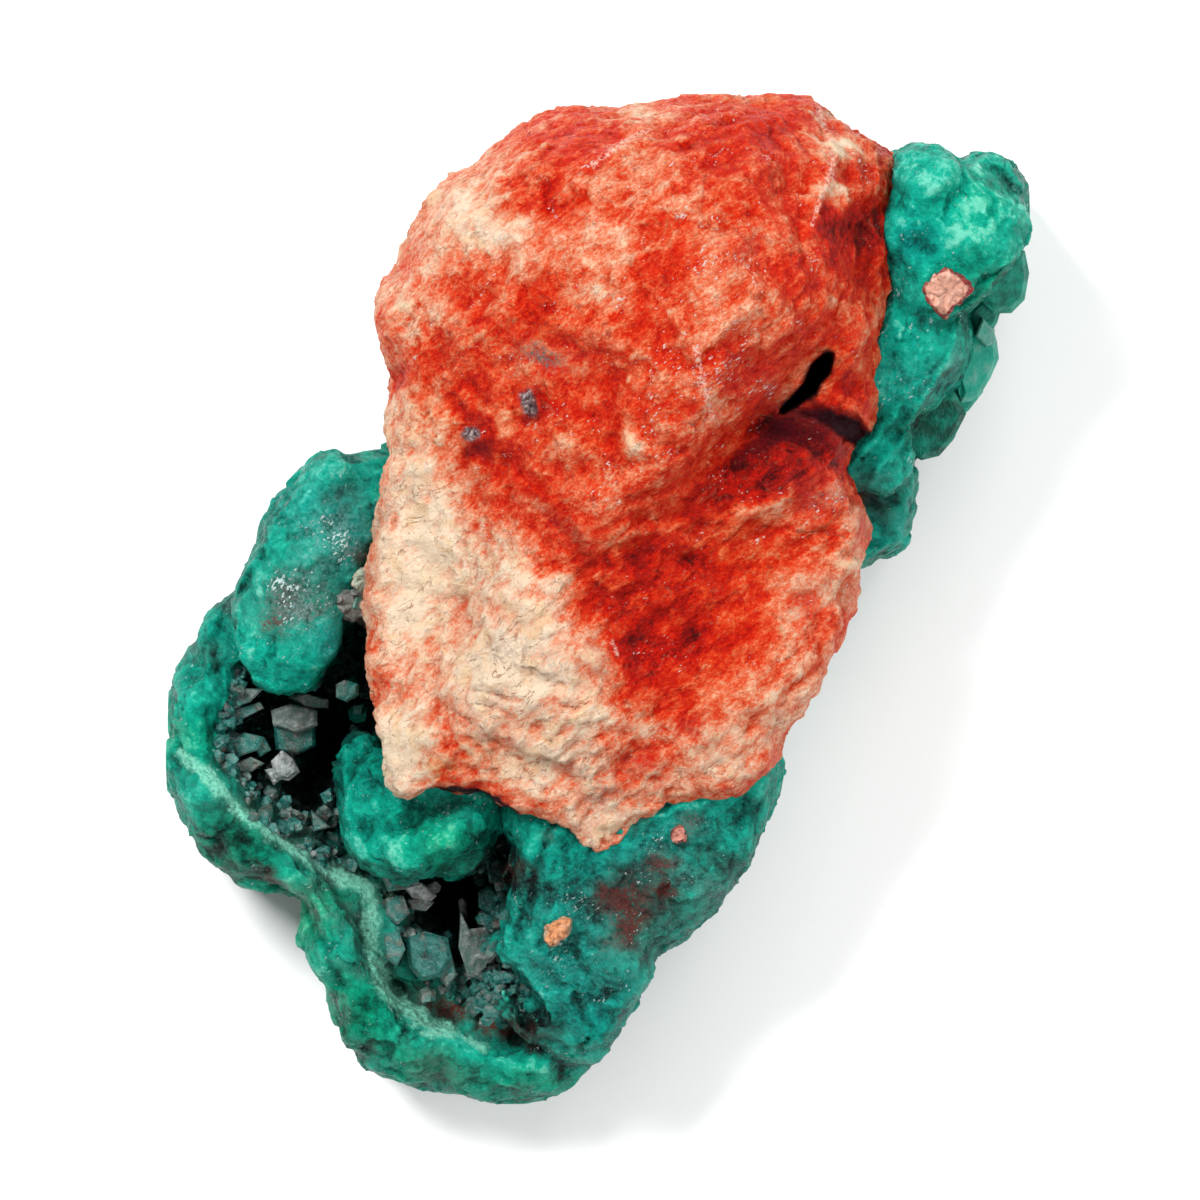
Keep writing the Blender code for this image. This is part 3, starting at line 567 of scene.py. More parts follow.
# Stains on the rock: x, y, half length, half width, turn in degrees, strength
CREAM = [
    (4.0, 16.4, 1.8, 1.1, 30, 0.25), (0.0, 13.5, 1.3, 0.9, 30, 0.2), (7.2, 12.2, 1.1, 0.9, 0, 0.2),
    (0.9, 21.1, 1.8, 1.1, 0, 0.25), (-4.5, 19.8, 2.7, 1.3, 20, 0.25), (6.3, 14.4, 2.2, 1.3, 30, 0.2),
    (-7.3, 12.7, 1.2, 1.0, 0, 0.5), (-4.5, 7.9, 0.7, 1.2, 60, 0.8), (-3.8, 1.1, 1.2, 1.0, 30, 0.8),
    (-8.6, -4.1, 1.1, 1.0, 0, 0.5), (-2.5, -8.6, 1.2, 0.8, -20, 0.8), (-4.5, -5.8, 1.2, 0.8, 0, 0.4),
    (3.2, -1.0, 0.7, 0.5, 30, 0.8), (-8.3, 4.5, 3.4, 1.9, 85, 1.3), (-8.2, 0.4, 2.7, 2.2, 80, 1.1),
    (-9.0, -1.8, 1.6, 1.3, 60, 0.8), (-5.8, 1.8, 2.5, 1.7, 75, 0.7), (-2.2, -0.2, 2.0, 1.2, 60, 0.9),
    (-4.5, -1.8, 2.5, 1.5, 20, 0.9), (-2.7, -4.0, 3.4, 2.3, -20, 1.0), (-5.4, -4.0, 2.2, 1.3, 20, 0.8),
    (-8.8, -6.3, 1.3, 1.6, 0, 1.3), (-8.9, -7.9, 1.2, 1.2, 0, 1.3), (-4.5, -7.3, 2.2, 0.7, -15, 0.5),
    (-0.4, -6.1, 1.8, 1.3, 0, 0.6), (-1.9, -7.4, 2.0, 1.2, -25, 1.0), (0.0, -9.9, 1.5, 1.1, 0, 1.0),
    (-6.1, 17.8, 2.2, 1.3, 35, 0.9), (-7.0, 15.5, 1.4, 1.8, 60, 0.35),
    (-4.3, 16.2, 1.8, 1.0, -10, 0.6), (-9.2, 13.5, 0.8, 0.9, 0, 0.9), (-8.5, 11.4, 0.9, 1.0, 0, 0.55),
    (-7.6, 14.8, 1.2, 0.7, 0, 0.5), (-9.4, 8.1, 0.6, 1.3, 90, 0.7), (-4.5, 16.4, 2.7, 1.3, 10, 0.35),
    (1.8, 22.1, 0.8, 0.9, 0, 0.9), (2.5, 19.3, 1.2, 1.1, 0, 0.5), (0.0, 17.8, 0.9, 1.2, 0, 0.4),
    (0.2, 15.8, 1.0, 1.8, 85, 0.45), (0.5, 13.9, 1.2, 1.3, 0, 0.3), (1.6, 6.8, 0.5, 0.8, 0, 1.1),
    (0.9, 2.7, 0.5, 0.6, 0, 0.45), (1.3, 0.7, 0.5, 0.5, 0, 0.35), (0.0, 1.0, 0.5, 0.5, 0, 0.3),
    (2.7, 3.3, 0.5, 0.4, 0, 0.3), (4.7, 9.4, 0.7, 2.0, 80, 0.45), (4.5, 8.1, 1.3, 1.3, 0, 0.25),
    (10.6, 19.9, 0.4, 1.2, 80, 1.2), (10.0, 21.7, 0.3, 1.1, 75, 0.9), (11.2, 20.0, 0.6, 0.5, 0, 0.9),
    (10.2, 18.4, 0.4, 0.9, 80, 0.9), (10.2, 18.0, 0.4, 1.8, 85, 0.45), (9.3, 15.8, 0.4, 2.2, 88, 0.45),
    (11.5, 1.8, 0.6, 1.8, 75, 0.6), (11.2, 0.0, 0.6, 1.5, 75, 0.5), (8.5, 0.4, 1.8, 1.8, 30, 0.4),
    (9.0, -2.2, 1.8, 1.5, 60, 0.35), (8.1, -4.5, 2.0, 1.8, 45, 0.45), (6.1, -6.3, 2.4, 1.3, 25, 0.65),
    (1.9, -6.2, 0.5, 1.0, 85, 0.9), (4.5, -8.1, 2.2, 1.2, 30, 0.45), (2.2, -9.0, 1.8, 1.3, 20, 0.35),
    (9.0, 1.8, 1.2, 0.7, 0, 0.35), (7.4, 4.1, 1.2, 0.5, 10, 0.3), (11.7, 4.0, 0.6, 0.6, 0, 0.35),
    (4.0, 13.0, 1.8, 1.8, 0, 0.2), (4.5, 15.8, 1.8, 1.3, 0, 0.2), (2.7, 17.3, 0.8, 0.6, 30, 0.4),
    (-2.1, 10.9, 1.0, 0.5, 0, 0.35), (-0.7, 5.4, 1.8, 0.6, 30, 0.25), (-3.6, 3.6, 1.3, 0.9, 30, 0.2),
    (5.4, 1.8, 0.4, 0.4, 0, 0.3),
]
# Deep red stains; the small marks at the nodules' edges are painted shade.
DEEP_RED = [
    (12.0, 16.4, 0.8, 3.0, 86, 0.8), (12.1, 11.7, 0.7, 2.2, 86, 0.5), (8.2, 6.8, 2.7, 1.3, 20, 0.9),
    (6.4, 5.5, 1.8, 0.9, 25, 0.6), (-3.3, 11.2, 1.1, 0.6, 20, 0.6), (-2.5, -1.0, 0.7, 0.7, 0, 0.7),
    (-4.8, 3.8, 0.8, 0.6, 0, 0.5), (-8.1, 10.7, 0.7, 0.6, 0, 0.4), (8.1, 2.0, 1.2, 1.1, 0, 0.6),
    (8.5, -3.2, 0.8, 0.7, 0, 0.5), (3.9, 8.2, 1.0, 0.6, 20, 0.4), (6.2, 9.4, 0.9, 0.7, 30, 0.6),
    (5.5, 4.1, 1.2, 0.6, 20, 0.9), (4.6, -1.8, 0.9, 0.7, 0, 0.8), (3.4, 2.0, 0.6, 1.0, 80, 0.6),
    (-5.8, 16.7, 0.7, 0.4, 0, 0.3), (-2.7, 9.1, 0.4, 0.8, 80, 1.2), (-5.3, 7.6, 0.4, 0.4, 0, 1.0),
    (-5.5, 6.7, 0.6, 0.3, 0, 0.8), (3.1, 0.0, 1.8, 2.5, 70, 1.0), (1.2, -1.8, 1.2, 1.6, 0, 0.7),
    (3.1, -2.2, 2.1, 1.4, 10, 1.2), (1.8, -4.0, 0.7, 1.1, 60, 0.4), (0.6, -6.4, 0.4, 1.4, 88, 0.9),
    (7.2, 5.9, 2.5, 1.0, 30, 1.2), (5.3, 5.3, 2.4, 1.2, 40, 1.1), (2.5, 5.5, 1.3, 0.6, 30, 0.5),
    (7.6, 7.1, 1.5, 0.6, 35, 0.9), (9.0, 7.6, 2.1, 1.2, 10, 1.6), (11.0, 5.8, 1.5, 0.9, -20, 0.8),
    (11.6, 17.3, 1.8, 1.5, 60, 1.0), (11.2, 15.8, 1.3, 1.8, 60, 0.6), (13.2, 14.4, 0.6, 1.8, 85, 0.6),
    (13.0, 17.3, 0.5, 1.3, 80, 0.5), (12.2, 9.9, 0.8, 2.2, 75, 0.25), (-3.6, 5.4, 2.3, 1.2, -40, 0.6),
    (-5.8, 7.9, 1.3, 0.9, 20, 0.7), (-5.5, 6.5, 1.2, 0.6, 0, 0.6), (-6.7, -7.9, 1.2, 0.4, 10, 0.4),
    (0.5, -7.4, 0.6, 1.4, 80, 0.6), (-1.8, 20.7, 1.8, 0.9, 40, 0.55),
    (-5.0, 12.2, 2.7, 1.3, -30, 0.35), (-2.7, 13.3, 1.0, 1.0, 0, 0.6), (-2.0, 17.8, 0.9, 1.3, 60, 0.5),
    (2.5, 15.8, 1.2, 1.6, 0, 0.4), (6.3, 9.9, 1.8, 1.1, 10, 0.8), (4.0, 15.8, 2.0, 1.6, 0, 0.2),
    (-5.4, 19.1, 1.8, 0.6, 40, 0.35), (7.6, 21.1, 2.0, 1.0, 0, 0.35), (5.4, 19.8, 1.8, 1.5, 30, 0.3),
    (6.8, 18.0, 1.6, 1.3, 0, 0.3), (-9.4, 9.7, 0.5, 1.2, 80, 0.4), (4.5, 13.5, 2.0, 1.2, 0, 0.25),
    (0.1, 1.3, 0.9, 1.6, 60, 0.6), (-1.8, 1.8, 1.8, 1.0, -30, 0.35), (9.0, 11.5, 1.3, 0.9, 0, 0.4),
    (7.2, 13.5, 1.3, 2.2, 60, 0.2), (-5.4, 9.9, 1.5, 0.7, 0, 0.4), (2.5, 1.8, 1.2, 0.9, 0, 0.4),
    (-1.8, -5.2, 1.3, 0.3, -30, 0.4), (-5.6, -1.8, 1.8, 0.5, 10, 0.2), (-7.6, -2.5, 1.0, 0.7, 0, 0.3),
    (-9.9, -1.8, 0.4, 1.1, 85, 0.4), (-0.4, 19.6, 0.6, 1.3, 60, 0.3), (10.7, 15.8, 1.3, 1.3, 0, 0.4),
]
ORANGE = [
    (-2.1, 11.9, 1.1, 0.7, 20, 0.9), (-4.5, -7.4, 2.2, 0.7, -15, 0.4), (-3.6, 8.1, 3.1, 2.2, 0, 0.5),
    (-2.7, 12.8, 2.0, 1.3, 20, 0.55), (-5.8, 11.2, 1.8, 1.3, 0, 0.4), (4.5, 1.3, 2.7, 1.5, 0, 0.8),
    (3.6, -0.9, 2.7, 2.2, 0, 0.7), (-6.9, -7.2, 0.5, 0.5, 0, 2.2), (-7.5, 0.7, 1.0, 0.6, 10, 0.35),
    (11.5, 10.3, 1.1, 1.8, 70, 0.9), (11.0, 12.2, 1.3, 0.9, 0, 0.5), (-7.2, 8.1, 1.3, 1.1, 0, 0.4),
    (1.8, 12.2, 1.8, 1.8, 0, 0.3), (0.0, 7.2, 1.8, 1.3, 0, 0.4), (4.0, -4.5, 1.8, 1.1, 0, 0.5),
    (-5.8, -6.5, 1.8, 0.6, 20, 0.4), (6.3, -1.8, 1.8, 1.2, 0, 0.6), (6.5, 1.8, 1.6, 1.3, 0, 0.7),
    (4.0, 1.8, 1.3, 0.9, 0, 0.4), (0.9, 0.0, 0.9, 0.9, 0, 0.5),
]
GREY = [
    (-2.1, 10.9, 0.6, 0.4, 0, 1.0), (9.7, 4.7, 1.2, 0.7, 0, 0.5), (-2.1, 10.9, 1.0, 0.5, 0, 0.5),
    (11.9, 3.4, 0.5, 0.9, 80, 0.5), (9.7, 0.0, 1.6, 0.8, 40, 0.3), (8.3, 8.5, 1.3, 0.6, -30, 0.6),
    (-0.2, -8.5, 0.6, 1.2, 70, 0.5), (6.3, 15.4, 1.0, 0.5, 30, 0.3), (1.8, -7.6, 0.6, 1.3, 80, 0.3),
    (4.5, -5.8, 1.3, 0.6, 0, 0.3), (6.8, -8.5, 1.3, 0.4, 20, 0.4), (9.9, 21.6, 0.8, 0.5, -30, 0.4),
    (-4.3, -1.8, 1.3, 0.9, 0, 0.35), (-2.7, -2.7, 2.2, 0.6, -10, 0.35),
    (-5.0, -5.4, 1.5, 0.5, -25, 0.35),
]
place = points_of(matrix)
warped = place + 0.55 * drift(place, 1.8, 4, 70, 0.6)
ragged = place + 0.12 * drift(place, 0.8, 2, 5)
add_raised(matrix)
low_side = smoothstep(12.0, 8.0, place[:, 2])
add_mask(matrix, "cream", np.clip(spots(warped, CREAM) + 0.4 * low_side, 0, 1.6))
for name, marks, most in (
    ("deep", DEEP_RED, 1.8), ("orange", ORANGE, 1.2), ("grey", GREY, 1.3), ("glinting", GLINTING, 1.2),
):
    add_mask(matrix, name, np.clip(spots(warped, marks), 0, most))
# The cleft's mask, for the painted shade in its depth
in_cleft = smoothstep(1.5, 0.9, stroke(ragged, CLEFT)[0])
add_mask(matrix, "cleft", in_cleft * smoothstep(11.0, 12.0, place[:, 2]))
add_mask(matrix, "nodule", smoothstep(0.35, 0.55, spots(ragged, NODULES)))
# The painted shade's mask, darkest along the middle of each path
shade_paths = [stroke(ragged, path) for path in PAINTED_SHADE_PATHS]
add_mask(matrix, "shade", np.max([
    smoothstep(1.6, 0.6, away) * strength for away, strength in shade_paths
], axis=0))
add_mask(matrix, "veins", np.min([stroke(place, vein)[0] for vein in VEINS], axis=0))
add_mask(matrix, "cracks", np.min([stroke(place, crack)[0] for crack in CRACKS], axis=0))


class Wiring:
    """Adds nodes to one node tree, so that a material reads as a list of steps."""

    def __init__(self, tree):
        self.tree = tree

    def node(self, kind, inputs=(), **settings):
        made = self.tree.nodes.new(kind)
        for key, value in settings.items():
            setattr(made, key, value)
        for key, value in dict(inputs).items():
            self.give(made, key, value)
        return made

    def give(self, node, key, value):
        """Links a socket to the input, or sets the input's own number or colour."""
        if isinstance(value, bpy.types.NodeSocket):
            self.tree.links.new(value, node.inputs[key])
        else:
            node.inputs[key].default_value = value

    def mask(self, name):
        return self.node("ShaderNodeAttribute", attribute_name=name).outputs["Fac"]

    def place(self, scale=(1, 1, 1), turn=0.0):
        """Object coordinates in millimetres, turned about z by so many degrees and stretched."""
        source = self.node("ShaderNodeTexCoord").outputs["Object"]
        turning = (0, 0, math.radians(-turn))
        upright = self.node("ShaderNodeMapping", {"Vector": source, "Rotation": turning})
        return self.node("ShaderNodeMapping", {
            "Vector": upright.outputs["Vector"], "Scale": [factor / MM for factor in scale],
        }).outputs["Vector"]

    def noise(self, vector, scale, detail=6.0, roughness=0.55, distortion=0.0):
        return self.node("ShaderNodeTexNoise", {
            "Vector": vector, "Scale": scale, "Detail": detail, "Roughness": roughness,
            "Distortion": distortion,
        }).outputs["Fac"]

    def cells(self, vector, scale):
        """A random brightness for each cell round scattered points."""
        return self.node("ShaderNodeTexVoronoi", {"Vector": vector, "Scale": scale}).outputs["Color"]

    def math(self, operation, first, second=0.5, third=0.5, clamp=False):
        return self.node(
            "ShaderNodeMath", {0: first, 1: second, 2: third}, operation=operation, use_clamp=clamp
        ).outputs[0]

    def times(self, first, second, clamp=False):
        return self.math("MULTIPLY", first, second, clamp=clamp)

    def swing(self, value, factor):
        """A term for add: how far the value is from one half, times the factor."""
        return self.math("SUBTRACT", value, 0.5), factor

    def add(self, *terms):
        """The sum of the terms; a pair is a value times a factor."""
        total = None
        for term in terms:
            if isinstance(term, tuple):
                term = self.times(*term)
            total = term if total is None else self.math("ADD", total, term)
        return total

    def between(self, value, low, high, to_low=0.0, to_high=1.0):
        return self.node("ShaderNodeMapRange", {
            "Value": value, "From Min": low, "From Max": high, "To Min": to_low, "To Max": to_high,
        }, interpolation_type="SMOOTHSTEP").outputs["Result"]

    def mix(self, share, first, second, blend="MIX"):
        made = self.node("ShaderNodeMix", data_type="RGBA", blend_type=blend)
        for key, value in ((0, share), (6, first), (7, second)):
            self.give(made, key, value)
        return made.outputs[2]

    def ramp(self, value, stops):
        made = self.node("ShaderNodeValToRGB", {"Fac": value})
        band = made.color_ramp
        while len(band.elements) < len(stops):
            band.elements.new(0.5)
        for element, (position, colour) in zip(band.elements, stops):
            element.position = position
            element.color = (*colour, 1)
        return made.outputs["Color"]

    def bump(self, height, strength, distance):
        """A normal tilted by the height; the distance is in millimetres."""
        return self.node("ShaderNodeBump", {
            "Height": height, "Strength": strength, "Distance": distance * MM,
        }).outputs["Normal"]


def new_material(name):
    made = bpy.data.materials.new(name)
    made.use_nodes = True
    return made, Wiring(made.node_tree), made.node_tree.nodes["Principled BSDF"]


# Sparkle, used by the rock and by the dioptase: tiny bright specks, longer one way, that the materials
# paint in as glints and, on the dioptase, partly as pale dust, and the fine unevenness of a broken surface.
GRAIN_STRETCH = (0.56, 1, 0.8)
sparkle = bpy.data.node_groups.new("sparkle", "ShaderNodeTree")
for name, side, kind in (
    ("Turn", "INPUT", "Vector"), ("Size", "INPUT", "Float"), ("Share", "INPUT", "Float"),
    ("Glint specks", "OUTPUT", "Float"), ("Unevenness", "OUTPUT", "Float"),
):
    sparkle.interface.new_socket(name, in_out=side, socket_type="NodeSocket" + kind)
wires = Wiring(sparkle)
given = wires.node("NodeGroupInput").outputs
source = wires.node("ShaderNodeTexCoord").outputs["Object"]
upright = wires.node("ShaderNodeMapping", {"Vector": source, "Rotation": given["Turn"]}).outputs["Vector"]
stretched = wires.node("ShaderNodeMapping", {
    "Vector": upright, "Scale": [factor / MM for factor in GRAIN_STRETCH],
}).outputs["Vector"]
small = wires.noise(stretched, given["Size"], 2, 0.5)
patches = wires.noise(wires.place(), 0.7, 4, 0.6)
limit = wires.math("SUBTRACT", wires.add((patches, -0.70), 1.09), given["Share"])
glint_specks = wires.times(wires.math("SUBTRACT", small, limit), 22, clamp=True)
rough = wires.noise(wires.place(), 6.5, 6, 0.75)
results = wires.node("NodeGroupOutput")
wires.give(results, "Glint specks", glint_specks)
wires.give(results, "Unevenness", rough)


def sparkle_of(wires, turn, size, share):
    """The sparkle group's two outputs, for glint specks that run at a turn in degrees."""
    made = wires.node("ShaderNodeGroup", node_tree=sparkle)
    wires.give(made, "Turn", (0, 0, math.radians(-turn)))
    wires.give(made, "Size", size)
    wires.give(made, "Share", share)
    return made.outputs["Glint specks"], made.outputs["Unevenness"]


rock, wires, shader = new_material("iron stained rock")
here = wires.place()
clouds = wires.noise(here, 0.36, 6, 0.55, 0.4)
patchy = wires.noise(here, 1.05, 5, 0.6, 0.6)
streaky = wires.noise(wires.place((0.45, 1.0, 0.7), STREAK_TURN), 2.4, 8, 0.72, 0.8)
fine = wires.noise(here, 6.0, 4, 0.75)
threads = wires.noise(wires.place((0.40, 1.0, 0.8), STREAK_TURN), 5.5, 4, 0.7, 1.0)
cream = wires.mask("cream")
deep = wires.mask("deep")
# The raised term darkens creases, as painted shade, and lightens what stands out.
tone = wires.add(
    0.487, wires.swing(clouds, 0.62), (cream, 0.36), (deep, -0.20),
    wires.swing(patchy, 0.44),
    wires.swing(streaky, 0.62), wires.swing(threads, 0.55),
    wires.swing(fine, 0.55), (wires.mask("raised"), 0.08),
)
colour = wires.ramp(tone, [
    (0.00, (0.055, 0.001, 0.002)), (0.16, (0.25, 0.003, 0.001)), (0.30, (0.47, 0.006, 0.001)),
    (0.43, (0.60, 0.023, 0.003)), (0.54, (0.67, 0.082, 0.025)), (0.66, (0.72, 0.220, 0.112)),
    (0.80, (0.77, 0.430, 0.282)), (0.98, (0.81, 0.640, 0.465)),
])
orange = wires.times(wires.mask("orange"), 0.55, clamp=True)
colour = wires.mix(orange, colour, (0.92, 0.78, 0.45, 1), "MULTIPLY")
grey = wires.times(wires.mask("grey"), wires.between(fine, 0.38, 0.62), clamp=True)
colour = wires.mix(grey, colour, (0.17, 0.12, 0.11, 1))
glint, uneven = sparkle_of(wires, STREAK_TURN, 8.0, wires.add(0.005, (wires.mask("glinting"), 0.11)))
veins = wires.mask("veins")
vein_edge = wires.add(veins, wires.swing(streaky, 5.0))
vein = wires.times(wires.between(vein_edge, 1.0, 0.4), wires.between(fine, 0.42, 0.58))
colour = wires.mix(wires.times(vein, 0.75), colour, (0.80, 0.55, 0.46, 1))
crack = wires.between(wires.add(wires.mask("cracks"), wires.swing(fine, 1.6)), 0.7, 0.2)
crack = wires.times(crack, wires.between(streaky, 0.42, 0.56))
colour = wires.mix(wires.times(crack, 0.6), colour, (0.12, 0.04, 0.02, 1))
bends = wires.noise(wires.place((0.50, 1.0, 0.8), 50), 0.80, 4, 0.58, 0.9)
wrinkle = wires.between(wires.math("ABSOLUTE", wires.math("SUBTRACT", bends, 0.5)), 0.012, 0.002)
wrinkle = wires.times(wrinkle, wires.between(patchy, 0.44, 0.56))
wrinkle = wires.times(wrinkle, wires.between(cream, 0.2, 0.8, 0.35, 0.75))
colour = wires.mix(wrinkle, colour, (0.36, 0.14, 0.07, 1))
tan = wires.between(wires.noise(here, 0.8, 5, 0.62, 0.8), 0.50, 0.64, 0.0, 0.55)
tan = wires.times(tan, wires.between(tone, 0.70, 0.85))
colour = wires.mix(tan, colour, (0.76, 0.50, 0.27, 1))
specks = wires.between(wires.noise(here, 5.5, 2, 0.6), 0.34, 0.29)
colour = wires.mix(wires.times(specks, 0.5), colour, (0.30, 0.12, 0.06, 1))
blots = wires.between(wires.noise(here, 1.9, 5, 0.68), 0.56, 0.68)
blots = wires.times(blots, wires.between(cream, 0.8, 0.2, 0.0, 0.55))
colour = wires.mix(blots, colour, (0.24, 0.006, 0.004, 1))
# The nodules: dark grey, with paler flecks as painted glints.
nodule = wires.mask("nodule")
lump = wires.ramp(wires.noise(here, 4.0, 3, 0.6), [
    (0.40, (0.045, 0.022, 0.026)), (0.54, (0.15, 0.10, 0.10)), (0.64, (0.42, 0.34, 0.33)),
])
colour = wires.mix(nodule, colour, lump)
# Painted glints: pale specks that stand in for sparkling reflections.
colour = wires.mix(wires.times(glint, 0.65), colour, (0.86, 0.72, 0.68, 1))
# Painted shade: the gullies and shaded edges are darkened to deep maroon and near black.
shade = wires.times(wires.mask("shade"), wires.between(fine, 0.30, 0.60, 1.0, 0.80), clamp=True)
shade_colour = wires.ramp(shade, [(0.30, (0.13, 0.0015, 0.004)), (0.75, (0.022, 0.001, 0.004))])
colour = wires.mix(wires.times(shade, 1.5, clamp=True), colour, shade_colour)
# Painted shade: the cleft is painted near black.
colour = wires.mix(wires.mask("cleft"), colour, (0.004, 0.0005, 0.003, 1))
wires.give(shader, "Base Color", colour)
wires.give(shader, "Roughness", wires.between(uneven, 0.40, 0.62, 0.30, 0.60))
relief = wires.add(uneven, (glint, 0.4), (streaky, 1.0), (patchy, 0.3), (wrinkle, -0.3))
wires.give(shader, "Normal", wires.bump(relief, 1.0, 0.20))
wires.give(shader, "Specular IOR Level", 0.12)
matrix.data.materials.append(rock)
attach(matrix, "root")
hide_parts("matrix")


# The dioptase crust
# Massive green dioptase that grew under the matrix and up round its left, lower and right sides,
# in rounded lumps and walls that have run together. It is waxy and half translucent, paler along
# the crests of its walls, and it was broken off flat underneath.

BASE_MIDDLE = (-1.0, 0.0)
BASE_OUTLINE = [
    (0.0, 20.4), (4.5, 20.9), (9.0, 20.7), (12.4, 19.2), (15.9, 18.0), (17.4, 16.2), (16.8, 13.3),
    (15.5, 10.2), (13.8, 7.2), (12.4, 3.6), (10.3, 0.0), (8.4, -4.0), (6.9, -7.6), (5.0, -12.0),
    (2.3, -15.6), (0.0, -19.0), (-2.7, -20.6), (-6.6, -20.0), (-9.8, -18.4), (-11.5, -15.8),
    (-13.0, -12.6), (-16.0, -10.4), (-17.1, -7.6), (-17.1, -4.5), (-15.4, -1.0), (-13.1, 2.6),
    (-10.4, 5.2), (-8.2, 8.3), (-8.5, 12.2), (-7.2, 16.0), (-3.9, 19.0),
]
BASE_RIM = 3.2
BASE_LOW_TOP = 4.0
BASE_HIGH_TOP = 9.4
# Lumps: middle, low, widest and top heights, the top's slope in x and y, the outline, and for
# some the flat faces that cut the top: a point of the face, and its rise per millimetre in x and y
LUMPS = {
    "upper_left_knob": ((-12.6, 2.5), 1.2, 6.5, 11.9, (0.06, 0.05), [
        (-9.0, 6.5), (-10.0, 6.8), (-11.2, 6.4), (-12.0, 6.7), (-13.1, 6.3), (-13.9, 5.2),
        (-14.8, 4.4), (-15.2, 3.6), (-15.2, 2.7), (-15.8, 1.7), (-16.2, 0.7), (-16.2, -0.5),
        (-15.2, -1.8), (-13.5, -2.2), (-11.7, -1.3), (-10.8, 0.0), (-10.3, 1.8), (-9.7, 3.6),
        (-9.1, 5.0),
    ]),
    "lower_right_lobe": ((1.0, -13.2), 0.8, 5.6, 13.0, (-0.05, 0.36), [
        (-4.5, -9.0), (-4.1, -11.2), (-4.6, -13.5), (-5.2, -15.3), (-5.4, -17.4), (-4.4, -18.9),
        (-3.1, -20.1), (-1.8, -20.9), (0.0, -21.0), (0.5, -19.7), (1.8, -18.0), (2.4, -16.0),
        (4.4, -14.7), (6.1, -12.6), (7.2, -10.8), (7.9, -9.0), (8.3, -7.6), (8.0, -6.8),
        (6.3, -5.8), (3.6, -6.1), (0.0, -7.4), (-2.7, -8.1),
    ]),
    "right_back_lobe": ((17.7, 18.4), 1.4, 7.5, 13.4, (-0.1, 0.0), [
        (15.8, 19.6), (16.6, 20.1), (17.3, 20.2), (18.2, 19.9), (18.9, 19.1), (19.3, 18.2),
        (19.3, 17.3), (18.4, 16.9), (17.3, 17.1), (16.2, 18.0),
    ]),
    "right_top_plate": ((15.9, 16.4), 1.4, 8.5, 15.8, (-0.16, 0.10), [
        (13.1, 20.2), (14.1, 20.4), (14.7, 20.4), (15.7, 20.1), (16.3, 19.7), (17.3, 19.1),
        (18.2, 18.2), (19.3, 17.6), (19.4, 16.8), (19.2, 16.0), (18.4, 14.9), (17.3, 13.8),
        (16.3, 12.7), (15.1, 12.2), (13.5, 12.8), (12.5, 13.9), (12.3, 15.2), (12.5, 16.9),
        (13.0, 18.4),
    ]),
    "right_middle_plate": ((14.0, 10.8), 1.2, 7.0, 14.4, (-0.30, 0.10), [
        (12.4, 14.8), (14.8, 13.7), (16.5, 13.0), (17.0, 12.2), (16.6, 10.7), (15.8, 9.4), (14.8, 8.1),
        (13.7, 7.4), (12.8, 7.1), (11.9, 7.5), (11.7, 9.0), (11.9, 10.8), (12.1, 12.6),
    ]),
    "right_edge_foot": ((15.2, 11.0), 1.0, 5.0, 9.6, (-0.1, 0.0), [
        (16.2, 13.5), (18.0, 15.2), (18.8, 14.8), (18.6, 13.5), (17.6, 12.7), (17.6, 11.2),
        (17.3, 9.9), (16.3, 8.8), (16.1, 7.6), (15.3, 6.7), (14.2, 6.5), (13.5, 6.9), (13.3, 9.0),
        (13.7, 11.2),
    ]),
    "right_small_knob": ((12.4, 6.1), 3.0, 9.6, 13.6, (0.08, 0.12), [
        (10.8, 7.4), (11.3, 7.8), (11.8, 8.1), (12.4, 8.5), (13.3, 9.0), (14.1, 8.2), (14.1, 7.0),
        (13.9, 5.8), (13.4, 5.0), (12.8, 4.5), (12.0, 4.6), (11.2, 5.0), (10.9, 5.8), (10.6, 6.7),
    ], [
        (12.2, 6.4, 13.5, -0.20, 0.30), (13.4, 5.4, 12.9, -0.60, 0.20), (11.8, 4.9, 12.7, 0.10, 0.80),
    ]),
    "right_lower_sheet": ((12.9, 4.0), 1.0, 5.5, 11.0, (0.0, 0.2), [
        (14.0, 6.6), (14.1, 4.5), (13.8, 3.2), (13.9, 2.7), (12.6, 2.0), (11.9, 1.4), (11.4, 1.6),
        (10.9, 3.6), (11.6, 5.4), (13.0, 6.8),
    ]),
}
